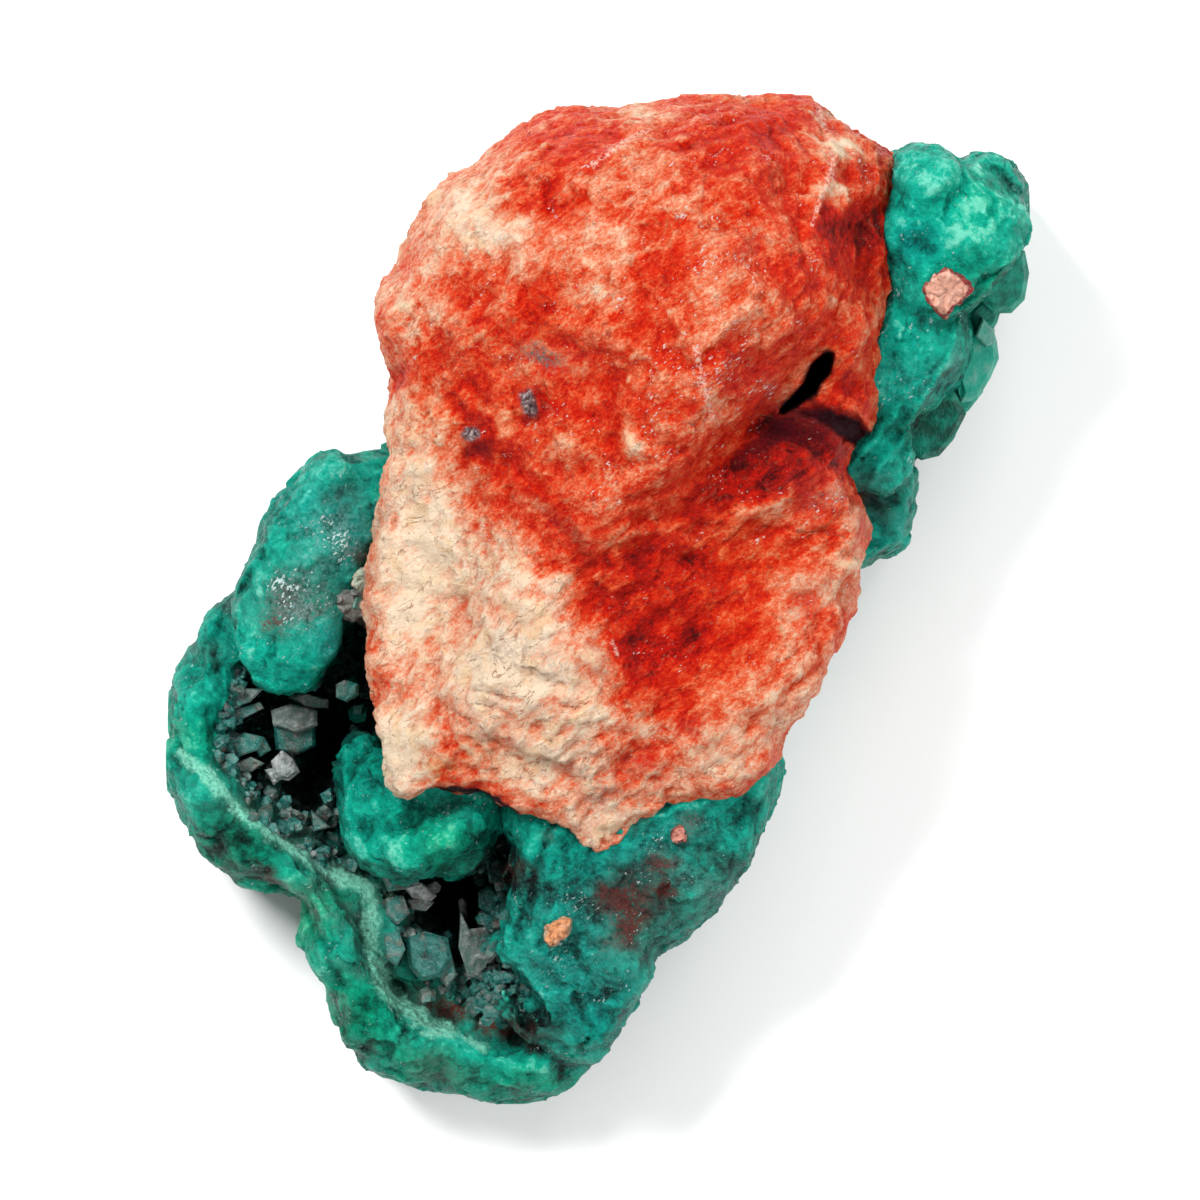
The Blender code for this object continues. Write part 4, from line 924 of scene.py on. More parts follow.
# Lumps that stand over the hollows
OVERHANGS = {
    "nose_over_the_hollow": ((-13.6, -0.6), 5.2, 9.0, 13.4, (0.0, 0.0), [
        (-16.2, 0.4), (-15.7, 1.5), (-14.6, 2.5), (-13.0, 2.9), (-11.5, 2.7), (-11.0, 1.1),
        (-11.3, 0.0), (-11.6, -1.3), (-11.9, -2.2), (-12.5, -3.1), (-13.0, -4.0), (-13.9, -4.1),
        (-14.6, -4.0), (-15.5, -3.7), (-16.0, -3.1), (-16.3, -2.3), (-16.4, -0.9),
    ], [
        (-13.8, -1.5, 11.9, 0.05, 0.02), (-12.6, -2.7, 11.6, -0.75, 0.75), (-16.0, -1.5, 11.4, 0.9, 0.0),
        (-14.6, -3.5, 11.1, 0.2, 0.9), (-11.9, -0.8, 11.8, -0.7, 0.0),
    ]),
    "curled_lobe": ((-7.6, -9.6), 3.6, 8.2, 12.4, (0.02, 0.06), [
        (-10.6, -7.0), (-11.2, -7.9), (-11.6, -9.2), (-11.4, -10.7), (-10.9, -11.9), (-9.9, -12.3),
        (-8.3, -12.1), (-7.2, -12.5), (-5.8, -12.2), (-4.7, -11.2), (-4.3, -10.1), (-4.7, -8.8),
        (-6.3, -7.9), (-8.1, -7.2), (-9.4, -6.8),
    ], [
        (-7.6, -9.6, 12.4, -0.05, 0.10), (-11.2, -9.4, 11.0, 0.9, 0.0), (-7.4, -11.8, 11.4, 0.0, 1.0),
    ]),
}
# Walls, as points along their middle line: x, y, half width, low, widest and top heights
WALLS = {
    "outer_wall": [
        (-15.1, 0.3, 1.0, 2.0, 5.5, 8.6), (-16.9, -1.8, 1.3, 1.2, 5.5, 9.2),
        (-17.9, -4.5, 1.5, 1.0, 5.5, 9.6), (-18.0, -7.2, 1.5, 0.9, 5.5, 9.8),
        (-17.2, -9.7, 1.8, 0.8, 5.3, 9.6), (-15.5, -11.2, 1.7, 0.8, 5.0, 9.0),
        (-13.1, -13.0, 0.95, 0.9, 4.6, 8.4), (-11.9, -15.5, 1.4, 0.8, 4.6, 8.2),
        (-10.8, -18.0, 1.35, 0.8, 4.6, 8.0), (-9.6, -19.8, 1.9, 0.7, 4.5, 7.8),
        (-6.8, -20.7, 1.65, 0.7, 4.3, 7.4), (-4.0, -21.3, 1.5, 0.7, 4.2, 7.2),
        (-1.9, -20.7, 1.4, 0.8, 4.2, 7.4), (-0.3, -19.0, 0.9, 1.0, 4.2, 7.6),
    ],
    "bench_inside_the_wall": [
        (-15.4, -8.6, 1.2, 1.0, 3.4, 6.6), (-13.9, -11.0, 1.6, 1.0, 3.4, 6.4),
        (-11.2, -13.4, 1.7, 1.0, 3.4, 6.2), (-8.3, -16.0, 1.7, 1.0, 3.2, 5.8),
        (-6.0, -18.7, 1.7, 1.0, 3.2, 5.8), (-3.6, -19.7, 1.4, 1.0, 3.2, 6.4),
    ],
}
CURLED_ARM = [
    (-10.5, -6.0, 0.8, 4.6, 7.5, 10.0), (-10.9, -7.9, 1.0, 4.4, 7.8, 10.8),
    (-10.2, -9.8, 1.5, 4.2, 8.2, 11.8), (-8.8, -10.7, 1.8, 4.0, 8.6, 12.6),
    (-7.2, -10.5, 2.0, 4.0, 8.8, 13.2), (-5.6, -9.8, 1.6, 4.2, 8.6, 12.8),
    (-4.2, -9.0, 1.2, 4.4, 8.4, 12.2),
]
# The two hollows: the deepest place, floor, rim height and outline
HOLLOWS = {
    "left": ((-12.5, -7.2), 3.1, 10.0, [
        (-16.4, -2.9), (-17.4, -4.5), (-17.7, -6.3), (-17.2, -8.0), (-16.0, -9.4), (-14.2, -10.9),
        (-12.7, -12.0), (-11.5, -12.6), (-11.1, -12.1), (-11.4, -10.3), (-11.6, -8.8), (-11.2, -7.3),
        (-10.3, -6.2), (-9.6, -4.7), (-9.8, -2.7), (-10.2, -0.5), (-11.5, -1.8), (-12.7, -3.1),
        (-13.9, -4.1), (-15.2, -4.0),
    ]),
    "lower": ((-6.5, -13.9), 3.1, 9.0, [
        (-8.9, -12.2), (-7.2, -12.5), (-5.8, -12.1), (-5.1, -11.2), (-4.5, -10.9), (-4.0, -11.8),
        (-3.9, -13.3), (-4.0, -14.6), (-4.5, -15.8), (-4.9, -17.3), (-4.5, -18.4), (-2.9, -18.5),
        (-2.0, -19.3), (-2.7, -20.3), (-4.3, -19.8), (-5.8, -18.5), (-7.4, -17.8), (-8.6, -16.6),
        (-9.3, -15.1), (-9.5, -13.7),
    ]),
}
# The hollows' darkest parts, painted black as shade, where few crystals stand
PITS = [
    (-11.9, -6.8, 1.5, 2.5, 0, 1.3), (-13.5, -9.0, 0.9, 1.1, 0, 0.6), (-6.7, -13.7, 1.6, 1.3, 0, 1.3),
    (-6.8, -16.3, 0.4, 1.3, 90, 1.0), (-3.3, -19.5, 0.8, 0.5, -20, 1.0),
    (-13.5, -4.5, 0.6, 0.4, 0, 0.4),
]
# Small forms of the crust: x, y, half length, half width, turn in degrees, rise
CRUST_KNOBS = [
    (-12.0, 6.2, 0.8, 0.7, 0, 0.35), (-10.0, 6.2, 0.7, 0.8, 0, 0.3), (-14.8, 4.0, 0.5, 0.5, 0, 0.3),
    (-12.6, 2.5, 1.5, 1.2, 0, 0.3), (-13.5, -1.8, 1.5, 1.2, 0, 0.35),
    (-11.5, -1.8, 0.7, 1.2, 80, -0.3), (-7.0, -10.7, 1.4, 1.1, 0, 0.4),
    (-11.3, -9.5, 0.4, 1.3, 85, 0.25), (14.8, 18.4, 1.6, 1.2, 0, 0.3),
    (17.3, 18.7, 1.5, 0.4, -35, 0.35), (18.4, 16.9, 0.7, 0.6, 0, 0.3),
    (14.2, 16.0, 0.7, 0.6, 0, -0.25), (16.2, 16.2, 1.3, 0.7, 10, 0.3), (12.6, 7.0, 0.6, 0.9, 30, 0.3),
    (1.8, -13.7, 1.6, 1.3, 0, -0.3), (-1.8, -13.5, 1.3, 1.8, 60, 0.3), (4.5, -10.8, 0.5, 2.2, 60, 0.3),
    (5.6, -11.7, 0.4, 2.2, 60, -0.3), (-13.5, -14.6, 0.7, 2.2, -60, 0.35),
    (-14.2, -12.6, 0.6, 0.6, 0, 0.3), (-11.5, -18.4, 0.7, 1.3, 80, 0.3),
    (-3.6, -21.1, 1.8, 0.4, -10, 0.3), (-1.8, -21.5, 0.4, 0.5, 0, -0.5),
    (-0.4, -20.2, 0.6, 1.8, 70, 0.25), (-18.6, -4.5, 0.4, 1.3, 85, 0.25),
    (-16.9, -10.8, 1.2, 0.6, -20, -0.25), (-18.0, -9.0, 0.5, 0.9, -60, 0.3),
    (7.0, -8.3, 0.9, 0.6, 40, 0.3), (2.2, -16.2, 0.4, 1.8, 50, -0.2), (-3.6, -17.6, 0.9, 1.3, 70, 0.3),
]
# Crests and grooves: x, y, half width and height at points along each
CRESTS = [
    [(11.1, 5.8, 0.18, 0.2), (11.8, 6.7, 0.2, 0.3), (12.6, 7.6, 0.2, 0.3), (13.2, 8.3, 0.2, 0.2)],
    [(12.1, 5.1, 0.18, 0.2), (12.8, 6.1, 0.2, 0.3), (13.6, 7.2, 0.2, 0.3), (14.0, 7.9, 0.2, 0.2)],
    [
        (-15.9, 0.4, 0.18, 0.15), (-16.4, -0.9, 0.2, 0.25), (-16.4, -2.8, 0.2, 0.25),
        (-15.7, -3.6, 0.18, 0.25), (-14.5, -4.0, 0.15, 0.15),
    ],
    [(16.2, 19.7, 0.2, 0.25), (17.3, 19.2, 0.22, 0.3), (18.1, 18.2, 0.2, 0.3), (19.3, 17.6, 0.18, 0.2)],
    [
        (19.3, 16.0, 0.2, 0.3), (17.3, 13.8, 0.24, 0.45), (16.3, 12.7, 0.22, 0.4),
        (15.7, 11.0, 0.2, 0.35), (14.6, 9.2, 0.18, 0.3), (13.8, 7.7, 0.16, 0.2),
    ],
    [
        (-11.5, -8.1, 0.18, 0.2), (-11.4, -9.8, 0.2, 0.3), (-10.8, -11.0, 0.18, 0.25),
        (-10.1, -11.8, 0.15, 0.15),
    ],
    [(0.9, -10.4, 0.2, 0.25), (2.1, -9.9, 0.2, 0.3), (3.1, -9.4, 0.2, 0.25), (4.7, -9.0, 0.2, 0.2)],
]
GROOVES = [
    [
        (-15.2, 1.8, 0.25, -0.3), (-15.9, 0.7, 0.3, -0.5), (-17.0, -0.5, 0.3, -0.5),
        (-17.5, -2.2, 0.3, -0.4), (-17.3, -3.6, 0.25, -0.3),
    ],
    [
        (-14.6, -12.9, 0.3, -0.6), (-13.5, -13.7, 0.25, -0.4), (-12.4, -15.8, 0.25, -0.3),
        (-11.8, -17.3, 0.3, -0.5),
    ],
    [(17.3, 19.5, 0.2, -0.3), (18.2, 18.8, 0.25, -0.5), (19.3, 18.0, 0.2, -0.4)],
    [(-1.8, -9.0, 0.1, -0.1), (-2.7, -11.7, 0.2, -0.3), (-3.6, -15.1, 0.25, -0.4)],
    [(11.0, 5.1, 0.2, -0.3), (12.1, 4.3, 0.25, -0.4), (13.3, 4.5, 0.2, -0.3)],
]
# The mint-green vein along the wall's inner edge: x, y and half width
MINT_VEIN = [
    (-19.0, -6.9, 0.16), (-18.6, -7.2, 0.2), (-17.8, -7.8, 0.2), (-16.7, -9.1, 0.2),
    (-15.3, -10.3, 0.2), (-14.0, -11.1, 0.22), (-13.1, -11.6, 0.22), (-12.2, -12.3, 0.22),
    (-10.7, -13.1, 0.22), (-10.3, -13.7, 0.24), (-10.5, -14.8, 0.24), (-10.4, -15.9, 0.22),
    (-9.9, -17.2, 0.22), (-9.2, -18.2, 0.22), (-8.1, -19.1, 0.24), (-6.9, -19.6, 0.22),
    (-5.4, -20.2, 0.18),
]
WALL_ROUGHNESS = 0.28
GROUND_VOXEL = 0.22
CUT_SOFTNESS = 0.10  # how round the edges of a lump's flat faces are
BASE_BOTTOM = -4.0  # cut off flat at the table afterwards
PLATE = (0.36, 0.42)  # a lump's profile: flat on top, with crisp shoulders
CRUST_TRIANGLES = 195000


def smooth_path(points, stations):
    """Points on a Catmull-Rom curve through the given points, evenly spread over its spans."""
    given = np.array(points)
    padded = np.vstack([2 * given[0] - given[1], given, 2 * given[-1] - given[-2]])
    place = np.linspace(0, len(given) - 1, stations)
    span = np.minimum(place.astype(int), len(given) - 2)
    t = (place - span)[:, None]
    a, b, c, d = (padded[span + step] for step in range(4))
    return 0.5 * (2 * b + (c - a) * t + (2 * a - 5 * b + 4 * c - d) * t**2 + (3 * b - a - 3 * c + d) * t**3)


def wall_grid(points, columns=48):
    """Points of a wall: an oval whose half width and heights change along a smooth path, shrunk
    to nothing over the last steps at both ends."""
    path = smooth_path(points, 24 * len(points))
    along = np.gradient(path[:, :2], axis=0)
    along /= np.linalg.norm(along, axis=1)[:, None]
    side = np.stack([along[:, 1], -along[:, 0]], axis=1)
    half, low, rim, high = (path[:, i] for i in range(2, 6))
    run = np.append(0, np.cumsum(np.linalg.norm(np.diff(path[:, :2], axis=0), axis=1)))
    to_end = np.minimum(run, run[-1] - run)
    shrink = np.sqrt(np.clip(1 - (1 - np.minimum(to_end / half, 1)) ** 2, 0, 1))
    turn = np.arange(columns) * 2 * math.pi / columns
    reach = (half * shrink)[:, None] * np.cos(turn)
    span = np.where(np.sin(turn) > 0, (high - rim)[:, None], (rim - low)[:, None])
    z = rim[:, None] + shrink[:, None] * span * np.sin(turn)
    plan = path[:, None, :2] + reach[:, :, None] * side[:, None, :]
    swell = WALL_ROUGHNESS * unevenness(plan[:, :, 0], plan[:, :, 1], z)
    plan = plan + (swell * np.cos(turn))[:, :, None] * side[:, None, :]
    return np.dstack([plan, z + swell * np.sin(turn)])


def base_top(x, y):
    """The top of the base: a logistic step from low, at the lower left, to high, across the line
    where 0.6 x + y is 0.5."""
    share = 1 / (1 + np.exp(-(0.6 * x + y - 0.5) / 1.6))
    return BASE_LOW_TOP + (BASE_HIGH_TOP - BASE_LOW_TOP) * share


def lump_body(name, middle, low, rim, high, slope, outline, cuts=()):
    """A lump from its row of sizes; each cut lowers its top to a flat face."""
    def shape(x, y, z):
        for face_x, face_y, height, slope_x, slope_y in cuts:
            z = lower_of(z, height + slope_x * (x - face_x) + slope_y * (y - face_y), CUT_SOFTNESS)
        return z
    return body_from(name, domed_grid(
        outline, middle, low=level(low), rim=level(rim), high=plane(high, slope, middle),
        grid=(120, 24, 48), rough=WALL_ROUGHNESS, shape=shape, profile=PLATE,
    ))


def crust_grain(points):
    """Three sizes of small tilted facets, the largest with shaken edges."""
    shaken = points + 0.25 * cloud(points, 0.7, 117)[:, None]
    coarse = 0.16 * facets(shaken, 1.5, 115)
    return coarse + 0.07 * facets(points, 0.6, 120) + 0.035 * facets(points, 0.3, 140)


def depth_in(points, middle, outline):
    """How far inside an outline each point is in plan, from 0 on it to 1 at its middle."""
    offset = points[:, :2] - np.array(middle)
    reach = radius_round(outline, middle, np.arctan2(offset[:, 1], offset[:, 0]))
    return 1 - np.hypot(*offset.T) / reach


def over_hollows(points, low, high):
    """How far inside a hollow each point is in plan: 0 below the low depth, 1 above the high."""
    return np.max([
        smoothstep(low, high, depth_in(points, middle, outline))
        for middle, _, _, outline in HOLLOWS.values()
    ], axis=0)


ground = [body_from("base", domed_grid(
    BASE_OUTLINE, BASE_MIDDLE, low=level(BASE_BOTTOM), rim=level(BASE_RIM), high=base_top,
    grid=(220, 24, 40), rough=0.3,
))]
ground += [lump_body(name, *lump) for name, lump in LUMPS.items()]
ground += [body_from(name, wall_grid(points)) for name, points in WALLS.items()]
ground = reskinned("ground", ground, GROUND_VOXEL)
place = points_of(ground)
for middle, floor_height, rim, outline in HOLLOWS.values():
    depth = depth_in(place + 0.5 * cloud(place, 1.4, 90)[:, None], middle, outline)
    bed = rim + (floor_height - rim) * smoothstep(0.0, 0.75, depth)
    place[:, 2] = np.where(depth > 0, np.minimum(place[:, 2], bed), place[:, 2])
move_points(ground, place)
standing = [lump_body(name, *lump) for name, lump in OVERHANGS.items()]
standing.append(body_from("curled_arm", wall_grid(CURLED_ARM)))
crust = reskinned("dioptase_rock", [ground, *standing], SKIN_VOXEL)

place = points_of(crust)
in_hollow = over_hollows(place, 0.0, 0.15) * smoothstep(9.5, 8.0, place[:, 2])
facing_up = smoothstep(0.25, 0.6, vertex_normals(crust)[:, 2])
within = smoothstep(0.06, 0.12, depth_in(place, MATRIX_MIDDLE, MATRIX_OUTLINE))
under_rock = within * smoothstep(12.5, 12.0, place[:, 2]) * facing_up
seen = (1 - under_rock) * smoothstep(0.2, 0.8, place[:, 2])
waxy = 0.22 * fractal(place, 2.4, 3, 101, 0.5) - 0.10 * np.abs(fractal(place, 1.2, 2, 111))
lining = 0.20 * in_hollow * facets(place, 0.7, 160)
place = place + (seen * (waxy + crust_grain(place) + lining))[:, None] * vertex_normals(crust)
ragged = place + 0.14 * drift(place, 0.6, 1, 5)
top = smoothstep(4.0, 6.0, place[:, 2]) * smoothstep(-0.1, 0.5, vertex_normals(crust)[:, 2])
place[:, 2] += top * spots(ragged, CRUST_KNOBS)
lift_along(place, ragged, [*CRESTS, *GROOVES], top)
# The underside is broken off flat, to a few hundredths of a millimetre
place[:, 2] = np.maximum(place[:, 2], 0.03 * np.abs(cloud(place, 0.9, 7)))
move_points(crust, inside_box(place))
thinned(crust, CRUST_TRIANGLES)

# Tints of the dioptase: x, y, half length, half width, turn in degrees, strength
BRIGHT = [
    (-12.6, 5.4, 2.7, 1.5, 10, 0.3), (-13.5, 2.5, 1.8, 1.3, 30, 0.35), (-13.9, -1.8, 2.0, 1.5, 0, 0.3),
    (-15.5, -0.4, 0.6, 1.8, 75, 0.35), (-18.4, -6.5, 0.6, 1.3, 80, 0.7),
    (-18.6, -4.5, 0.4, 1.8, 85, 0.3), (-13.5, -14.4, 1.2, 2.7, -60, 0.75),
    (-14.2, -12.8, 0.8, 1.0, 0, 0.5), (-12.6, -17.3, 1.0, 1.2, 0, 0.35),
    (-7.0, -10.6, 1.5, 1.1, -10, 0.55), (-6.8, -8.8, 1.3, 0.6, 10, 0.5),
    (-11.2, -9.0, 0.4, 2.0, 85, 0.55), (-9.0, -11.2, 1.8, 0.5, -20, 0.2),
    (-4.0, -17.3, 1.1, 2.0, 80, 0.7), (-2.5, -13.5, 1.3, 1.8, 60, 0.25),
    (-1.8, -18.0, 2.0, 1.8, 0, 0.3), (-3.1, -10.8, 1.1, 0.9, 0, 0.25), (1.8, -10.2, 2.0, 0.4, 20, 0.6),
    (4.0, -9.3, 1.3, 0.4, 25, 0.5), (6.4, -8.3, 1.3, 0.7, 35, 0.5), (4.0, -13.3, 0.4, 1.0, 70, 0.7),
    (-3.6, -21.0, 2.0, 0.5, -15, 0.7), (-6.3, -19.6, 1.5, 0.4, -25, 0.5),
    (15.3, 18.4, 2.7, 1.8, -20, 0.75), (17.3, 16.9, 2.0, 1.5, 0, 0.7), (14.8, 16.4, 2.0, 1.0, 0, 0.5),
    (17.3, 18.8, 1.8, 0.4, -35, 0.6), (18.0, 15.1, 1.3, 0.4, 55, 0.4), (14.6, 11.7, 1.3, 1.8, 70, 0.4),
    (13.3, 10.3, 1.1, 2.2, 80, 0.35), (15.8, 10.8, 0.5, 2.7, 60, 0.5), (12.6, 5.8, 1.1, 0.9, 0, 0.35),
    (13.7, 2.7, 0.4, 1.8, 80, 0.45), (-14.8, -0.9, 0.8, 0.5, 0, 0.3),
    (-15.9, -4.0, 1.1, 0.4, -10, 0.5), (-16.3, -2.2, 0.3, 1.3, 85, 0.5),
    (-11.2, -4.0, 0.7, 0.5, 0, 0.4), (-8.1, -15.8, 1.2, 1.2, 0, 0.25), (-10.3, 6.8, 1.3, 0.5, 0, 0.2),
    (13.5, 13.5, 0.4, 1.1, 80, 0.3),
]
# Darker places: partly the crust's own deeper green, partly painted shade between lumps and by the hollows.
DARK_AND_SHADED = [
    (0.4, -13.5, 4.0, 2.7, 20, 0.28), (-1.8, -16.2, 2.7, 2.7, 0, 0.22), (0.0, -18.0, 2.2, 2.2, 0, 0.2),
    (4.0, -11.7, 2.2, 1.8, 30, 0.2), (-4.6, -12.8, 0.6, 2.0, 85, 0.6),
    (-15.8, -11.5, 2.0, 1.1, -20, 0.8), (-17.0, -10.8, 1.3, 1.5, 0, 0.5),
    (-17.8, -2.7, 1.2, 1.8, 70, 0.35), (-17.3, 0.0, 0.6, 1.8, 60, 0.5),
    (-15.3, -12.1, 1.0, 0.4, 0, 0.5), (-10.3, -18.7, 1.3, 1.3, 0, 0.7),
    (-9.0, -20.7, 2.2, 0.6, -20, 0.4), (-11.2, -19.6, 0.9, 1.3, 70, 0.3),
    (-3.8, -12.2, 1.2, 2.2, 80, 1.1), (-3.1, -19.4, 1.5, 0.8, -10, 1.1),
    (-5.4, -11.2, 1.2, 0.7, 0, 0.8), (-1.8, -21.4, 0.5, 0.6, 0, 0.9), (14.2, 16.1, 0.8, 0.7, 0, 0.7),
    (18.3, 13.9, 0.9, 1.5, 80, 0.55), (17.6, 12.1, 0.6, 0.8, 0, 0.4), (16.6, 10.1, 0.7, 1.5, 70, 0.45),
    (14.9, 7.9, 0.9, 1.5, 80, 0.9), (18.7, 18.9, 0.9, 1.0, -40, 0.45), (11.2, 7.2, 0.7, 1.1, 0, 0.8),
    (11.5, 5.8, 0.9, 0.5, -30, 0.6), (12.6, 4.5, 1.1, 0.4, -30, 0.6), (12.4, 3.6, 0.6, 1.3, 75, 0.3),
    (1.8, -13.0, 2.0, 1.8, 0, 0.35), (5.0, -11.7, 2.0, 1.8, 40, 0.35),
    (0.0, -19.8, 1.3, 2.0, 60, 0.35), (4.0, -15.8, 1.3, 1.3, 40, 0.35), (-12.2, 4.5, 1.8, 0.6, 0, 0.2),
    (-10.3, -12.2, 1.3, 0.4, -10, 0.5), (-13.9, -7.2, 2.7, 2.7, 0, 0.2),
    (-7.6, -18.0, 1.8, 0.9, -30, 0.5), (-14.9, 3.6, 0.7, 0.9, 0, 0.35), (-9.5, 5.8, 0.4, 0.7, 80, 0.3),
    (-16.2, 1.1, 0.6, 0.7, 0, 0.3), (-7.2, -12.2, 1.8, 0.4, 0, 0.5), (-2.5, -21.1, 0.9, 0.4, 0, 0.4),
]
BLUISH = [
    (-11.2, 2.5, 1.5, 1.5, 0, 0.9), (-11.5, -1.8, 1.0, 1.5, 80, 0.9), (0.9, -12.2, 3.1, 2.7, 0, 0.6),
    (-1.8, -15.8, 2.7, 2.7, 0, 0.6), (3.6, -10.3, 2.7, 0.9, 20, 0.4), (-13.0, 4.5, 2.7, 1.3, 0, 0.4),
    (12.4, 3.6, 1.1, 1.8, 80, 0.5), (14.2, 16.1, 1.1, 0.8, 0, 0.8), (13.5, 9.0, 1.1, 2.7, 80, 0.3),
    (0.0, -18.4, 2.7, 1.8, 0, 0.5),
]
EMERALD = [
    (-7.0, -10.8, 2.2, 1.5, 0, 0.8), (-13.5, -14.4, 1.5, 3.1, -60, 1.0),
    (-11.2, -18.4, 2.2, 2.0, 0, 0.9), (-16.6, -11.2, 2.7, 2.2, 0, 0.8),
    (-7.6, -21.1, 3.1, 1.1, -20, 0.8), (18.0, 13.5, 1.8, 2.7, 70, 0.7), (14.9, 7.9, 1.1, 1.6, 80, 0.8),
    (-18.4, -6.3, 1.3, 3.6, 85, 0.6), (-2.7, -21.8, 2.0, 0.9, 0, 0.6), (17.3, 18.0, 2.2, 1.8, 0, 0.4),
]
BROWN = [
    (0.7, -13.4, 0.8, 0.6, 30, 1.5), (1.2, -14.6, 0.9, 0.5, 60, 1.3), (2.7, -11.8, 0.4, 0.6, 90, 1.5),
    (2.7, -13.0, 0.4, 0.6, 90, 1.3), (1.8, -13.5, 1.2, 1.5, 40, 0.5), (-11.1, 2.3, 0.5, 0.4, 0, 1.2),
    (4.0, -10.0, 0.4, 0.4, 0, 0.9), (-13.6, -0.1, 1.4, 1.0, -10, 1.3), (-14.6, -1.0, 0.6, 0.4, 0, 1.0),
    (-13.9, 0.0, 0.6, 0.4, 0, 0.6), (-4.7, -19.2, 1.5, 0.7, -20, 1.0),
    (-6.8, -18.4, 1.5, 0.6, -25, 0.9), (-14.8, -12.4, 0.4, 0.4, 0, 0.9), (11.9, 4.5, 0.4, 0.3, 0, 1.2),
    (1.8, -9.9, 0.5, 0.3, 20, 0.5), (-2.5, -10.6, 0.4, 0.3, -30, 0.5),
    (-4.6, -12.2, 0.4, 1.3, 85, 0.6), (-9.4, -13.7, 0.6, 1.3, 80, 0.6), (1.1, -15.3, 0.9, 0.6, 0, 0.5),
]
GREYED = [
    (-11.3, -14.3, 0.6, 1.2, 70, 0.9), (-12.7, -12.8, 0.7, 1.0, -50, 0.8),
    (-11.5, -16.6, 0.4, 1.3, 75, 0.6), (-7.2, -21.1, 2.0, 0.8, -30, 0.8),
    (-17.3, 0.4, 0.5, 2.2, 60, 0.5), (-18.2, -2.2, 0.5, 1.8, 75, 0.4),
    (-9.4, -15.9, 1.0, 1.5, 70, 0.9), (12.4, 4.7, 1.0, 2.0, 75, 0.7), (16.8, 10.3, 0.8, 2.0, 70, 0.5),
    (1.8, -16.2, 1.3, 1.8, 50, 0.4), (4.5, -13.5, 1.8, 2.2, 50, 0.45), (-12.4, 1.8, 1.3, 1.2, 0, 0.4),
    (-11.2, 3.8, 1.3, 1.1, 0, 0.5), (-13.5, -11.0, 2.7, 0.7, -30, 0.8),
    (-16.4, -9.0, 1.3, 0.9, -40, 0.5), (-12.2, -11.7, 1.3, 0.6, -30, 0.7),
    (-8.5, -13.0, 1.1, 0.6, 0, 0.6), (-7.0, -18.4, 1.5, 0.7, -30, 0.6),
    (-1.8, -19.3, 0.9, 0.4, 0, 0.4), (5.6, -12.6, 1.3, 1.8, 40, 0.4),
]
FROST = [
    (-11.9, 2.6, 1.5, 1.4, 20, 1.2), (-13.6, -0.1, 1.3, 1.1, -15, 1.5),
    (-11.5, 5.4, 1.3, 0.8, 10, 0.3), (-13.0, 3.6, 0.9, 0.6, 0, 0.4), (-12.6, -1.8, 1.3, 0.6, 0, 0.3),
    (-1.8, -14.8, 2.2, 2.7, 0, 0.2), (0.9, -17.1, 1.8, 2.2, 60, 0.12), (3.6, -10.3, 2.2, 0.7, 20, 0.3),
    (4.5, -12.6, 0.6, 2.2, 60, 0.4), (14.8, 13.5, 1.8, 0.6, -30, 0.2),
    (17.8, 18.9, 1.5, 0.4, -35, 0.6), (1.8, -13.5, 2.2, 1.8, 0, 0.1), (-3.6, -17.1, 0.9, 1.8, 80, 0.3),
    (13.3, 9.9, 0.9, 2.2, 80, 0.3), (-6.8, -9.0, 1.3, 0.6, 0, 0.3),
]
place = points_of(crust)
warped = place + 0.35 * drift(place, 1.2, 4, 170, 0.6)
for name, marks in (
    ("bright", BRIGHT), ("dark", DARK_AND_SHADED), ("bluish", BLUISH), ("emerald", EMERALD), ("brown", BROWN),
    ("greyed", GREYED), ("frost", FROST),
):
    add_mask(crust, name, np.clip(spots(warped, marks), 0, 1.5))
add_raised(crust)
wavy = place + 0.10 * drift(place, 0.5, 1, 180)
add_mask(crust, "mint", stroke(wavy, MINT_VEIN)[0])
# The hollows, where the crust is painted dark as shade
add_mask(crust, "hollow", over_hollows(warped, 0.02, 0.30) * smoothstep(9.3, 7.6, place[:, 2]))
add_mask(crust, "pit", np.clip(spots(warped, PITS), 0, 1))
# Steep sides, which the green's tone paints darker as shade
add_mask(crust, "flank", smoothstep(0.55, 0.15, vertex_normals(crust)[:, 2]))

green, wires, shader = new_material("massive dioptase")
here = wires.place()
clouds = wires.noise(here, 0.42, 7, 0.6, 0.6)
mottle = wires.noise(here, 1.8, 8, 0.68, 0.4)
fine = wires.noise(here, 5.5, 4, 0.75)
bent = wires.node("ShaderNodeMix", {0: 0.12, 4: here, 5: wires.node("ShaderNodeTexNoise", {
    "Vector": here, "Scale": 1.5, "Detail": 3.0,
}).outputs["Color"]}, data_type="VECTOR").outputs[1]
faces = wires.add((wires.cells(bent, 1.9), 0.5), (wires.cells(bent, 4.2), 0.5))
bright = wires.mask("bright")
dark = wires.mask("dark")
